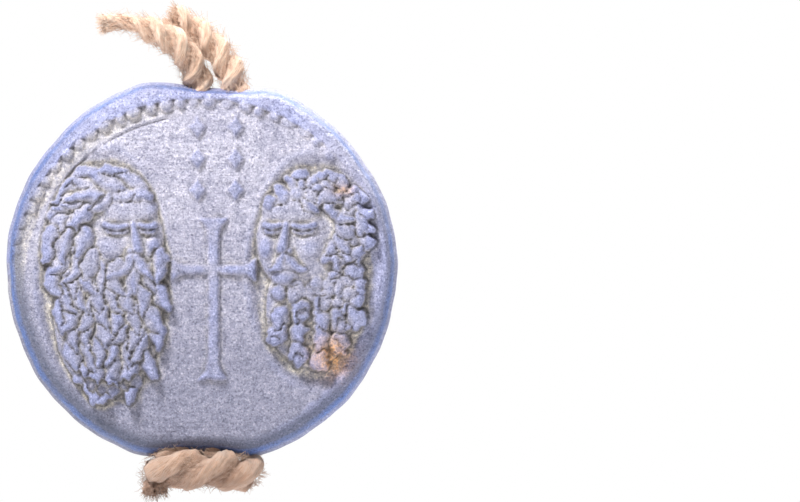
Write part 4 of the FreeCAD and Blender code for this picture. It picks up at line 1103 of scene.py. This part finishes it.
def carveStar(relief, cx, cz, reach, rise):
    for k in range(6):
        angle = math.radians(90 + 60 * k)
        end = (cx + reach * math.cos(angle), cz + reach * math.sin(angle))
        relief.stroke([(cx, cz), end], reach * 0.3, rise, start=1.15, end=0.35, square=0.45, blend=0.04)


def carveReverse(relief):
    across, up = relief.across, relief.up
    rng = random.Random(23)
    relief.height += 0.06 * waveNoise(across, up, 12, 31)
    rise = reverseLook["rise"]
    for number, (count, shift, pitch) in enumerate(reverseLook["rows"]):
        for k in range(count):
            cx = shift + (k - (count - 1) / 2) * pitch
            carveOrnament(relief, cx, reverseLook["topRow"] - reverseLook["rowPitch"] * number, rise)
    # small cross with splayed arms
    cx, cz = -0.05, 14.65
    mask = relief.near(cx, cz, 2.6)
    a, b = across[mask] - cx, up[mask] - cz
    for p, q in ((a, b), (b, a)):
        half = 0.34 + 0.9 * np.clip(np.abs(p) / 2.1, 0, 1) ** 1.6
        inside = np.minimum(half - np.abs(q), 2.1 - np.abs(p))
        wanted = np.where(inside > 0, rise * np.clip(inside / 0.25, 0, 1) ** 0.6, -1)
        relief.lift(mask, wanted, 0.04)
    for cx, cz, reach in reverseLook["stars"]:
        for sign in (-1, 1):
            carveStar(relief, sign * cx, cz, reach, rise)
    dieX, dieZ, dieR = reverseLook["die"]
    rubBeads(relief, dieX, dieZ, dieR, 24, 118, 5.0, 0.42, rng)
    rubBeads(relief, dieX, dieZ, dieR, 118, 200, 5.0, 0.26, rng)
    for inset, width, high in ((1.15, 0.2, 0.24), (-0.9, 0.24, 0.2)):
        relief.stroke(arcPoints(dieX, dieZ, dieR - inset, 8, 156), width, high, blend=0.08)
    scuff(relief, rng, 130, 50)
    relief.height += 0.028 * waveNoise(across, up, 1.6, 41) + 0.016 * waveNoise(across, up, 0.7, 42)
    earth = np.exp(-(((across + 12) / 3.6) ** 2 + ((up - 6.4) / 3.6) ** 2)) * 0.32
    earth += np.exp(-(((across - 10.7) / 2.2) ** 2 + ((up - 5.2) / 0.8) ** 2)) * 0.45
    plain = np.zeros_like(across)
    return {"earth": np.clip(earth, 0, 1), "lip": plain, "dust": plain, "dustPlace": plain + 0.7, "grime": plain + 0.9}


lead = makeLead("weatheredLead")
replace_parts(strikeFace("obverseFace", -1, carveObverse), "obverse_lead_half")
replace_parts(strikeFace("reverseFace", 1, carveReverse), "reverse_lead_half")


# Plain floor, soft white room and one lamp above each face, in metres and watts.
stageLook = {
    "floorZ": -0.052,
    "floorRadius": 0.34,
    "lampPower": 1.0,
    "lampSize": 0.05,
    "lampPlace": (-0.085, -0.105, 0.17),
    "skyLight": 0.22,
}

floorMesh = bpy.data.meshes.new("paleFloor")
floorBm = bmesh.new()
bmesh.ops.create_circle(floorBm, cap_ends=True, segments=96, radius=stageLook["floorRadius"])
bmesh.ops.translate(floorBm, verts=floorBm.verts, vec=(0, 0, stageLook["floorZ"]))
floorBm.to_mesh(floorMesh)
floorBm.free()
floor = bpy.data.objects.new("paleFloor", floorMesh)
scene.collection.objects.link(floor)
paleFloor = bpy.data.materials.new("paleFloor")
paleFloor.use_nodes = True
paleFloor.node_tree.nodes["Principled BSDF"].inputs["Base Color"].default_value = (0.86, 0.86, 0.86, 1)
paleFloor.node_tree.nodes["Principled BSDF"].inputs["Roughness"].default_value = 0.9
floorMesh.materials.append(paleFloor)

world = bpy.data.worlds.new("softRoom")
scene.world = world
world.use_nodes = True
sky = world.node_tree
sky.nodes.clear()
skyOut = addNode(sky, "ShaderNodeOutputWorld", (600, 0))
skyMix = addNode(sky, "ShaderNodeMixShader", (400, 0))
rays = addNode(sky, "ShaderNodeLightPath", (-200, 300))
seen = mathNode(sky, "MAXIMUM", rays.outputs["Is Camera Ray"], rays.outputs["Is Glossy Ray"], (0, 300))
seen = mathNode(sky, "MAXIMUM", seen, rays.outputs["Is Transmission Ray"], (200, 300))
lit = addNode(sky, "ShaderNodeBackground", (100, 0), Color=(1, 1, 1, 1), Strength=stageLook["skyLight"])
white = addNode(sky, "ShaderNodeBackground", (100, -200), Color=(1, 1, 1, 1), Strength=1.0)
sky.links.new(seen, skyMix.inputs[0])
sky.links.new(lit.outputs[0], skyMix.inputs[1])
sky.links.new(white.outputs[0], skyMix.inputs[2])
sky.links.new(skyMix.outputs[0], skyOut.inputs[0])

for lampName, side in (("frontLamp", 1), ("backLamp", -1)):
    lampData = bpy.data.lights.new(lampName, "AREA")
    lampData.energy = stageLook["lampPower"]
    lampData.size = stageLook["lampSize"]
    lamp = bpy.data.objects.new(lampName, lampData)
    scene.collection.objects.link(lamp)
    x, y, z = stageLook["lampPlace"]
    lamp.location = (x * side, y * side, z)
    lamp.rotation_euler = (Vector((0.0, 0.0, -0.018)) - lamp.location).to_track_quat("-Z", "Y").to_euler()
print("floor, room and lamps set")
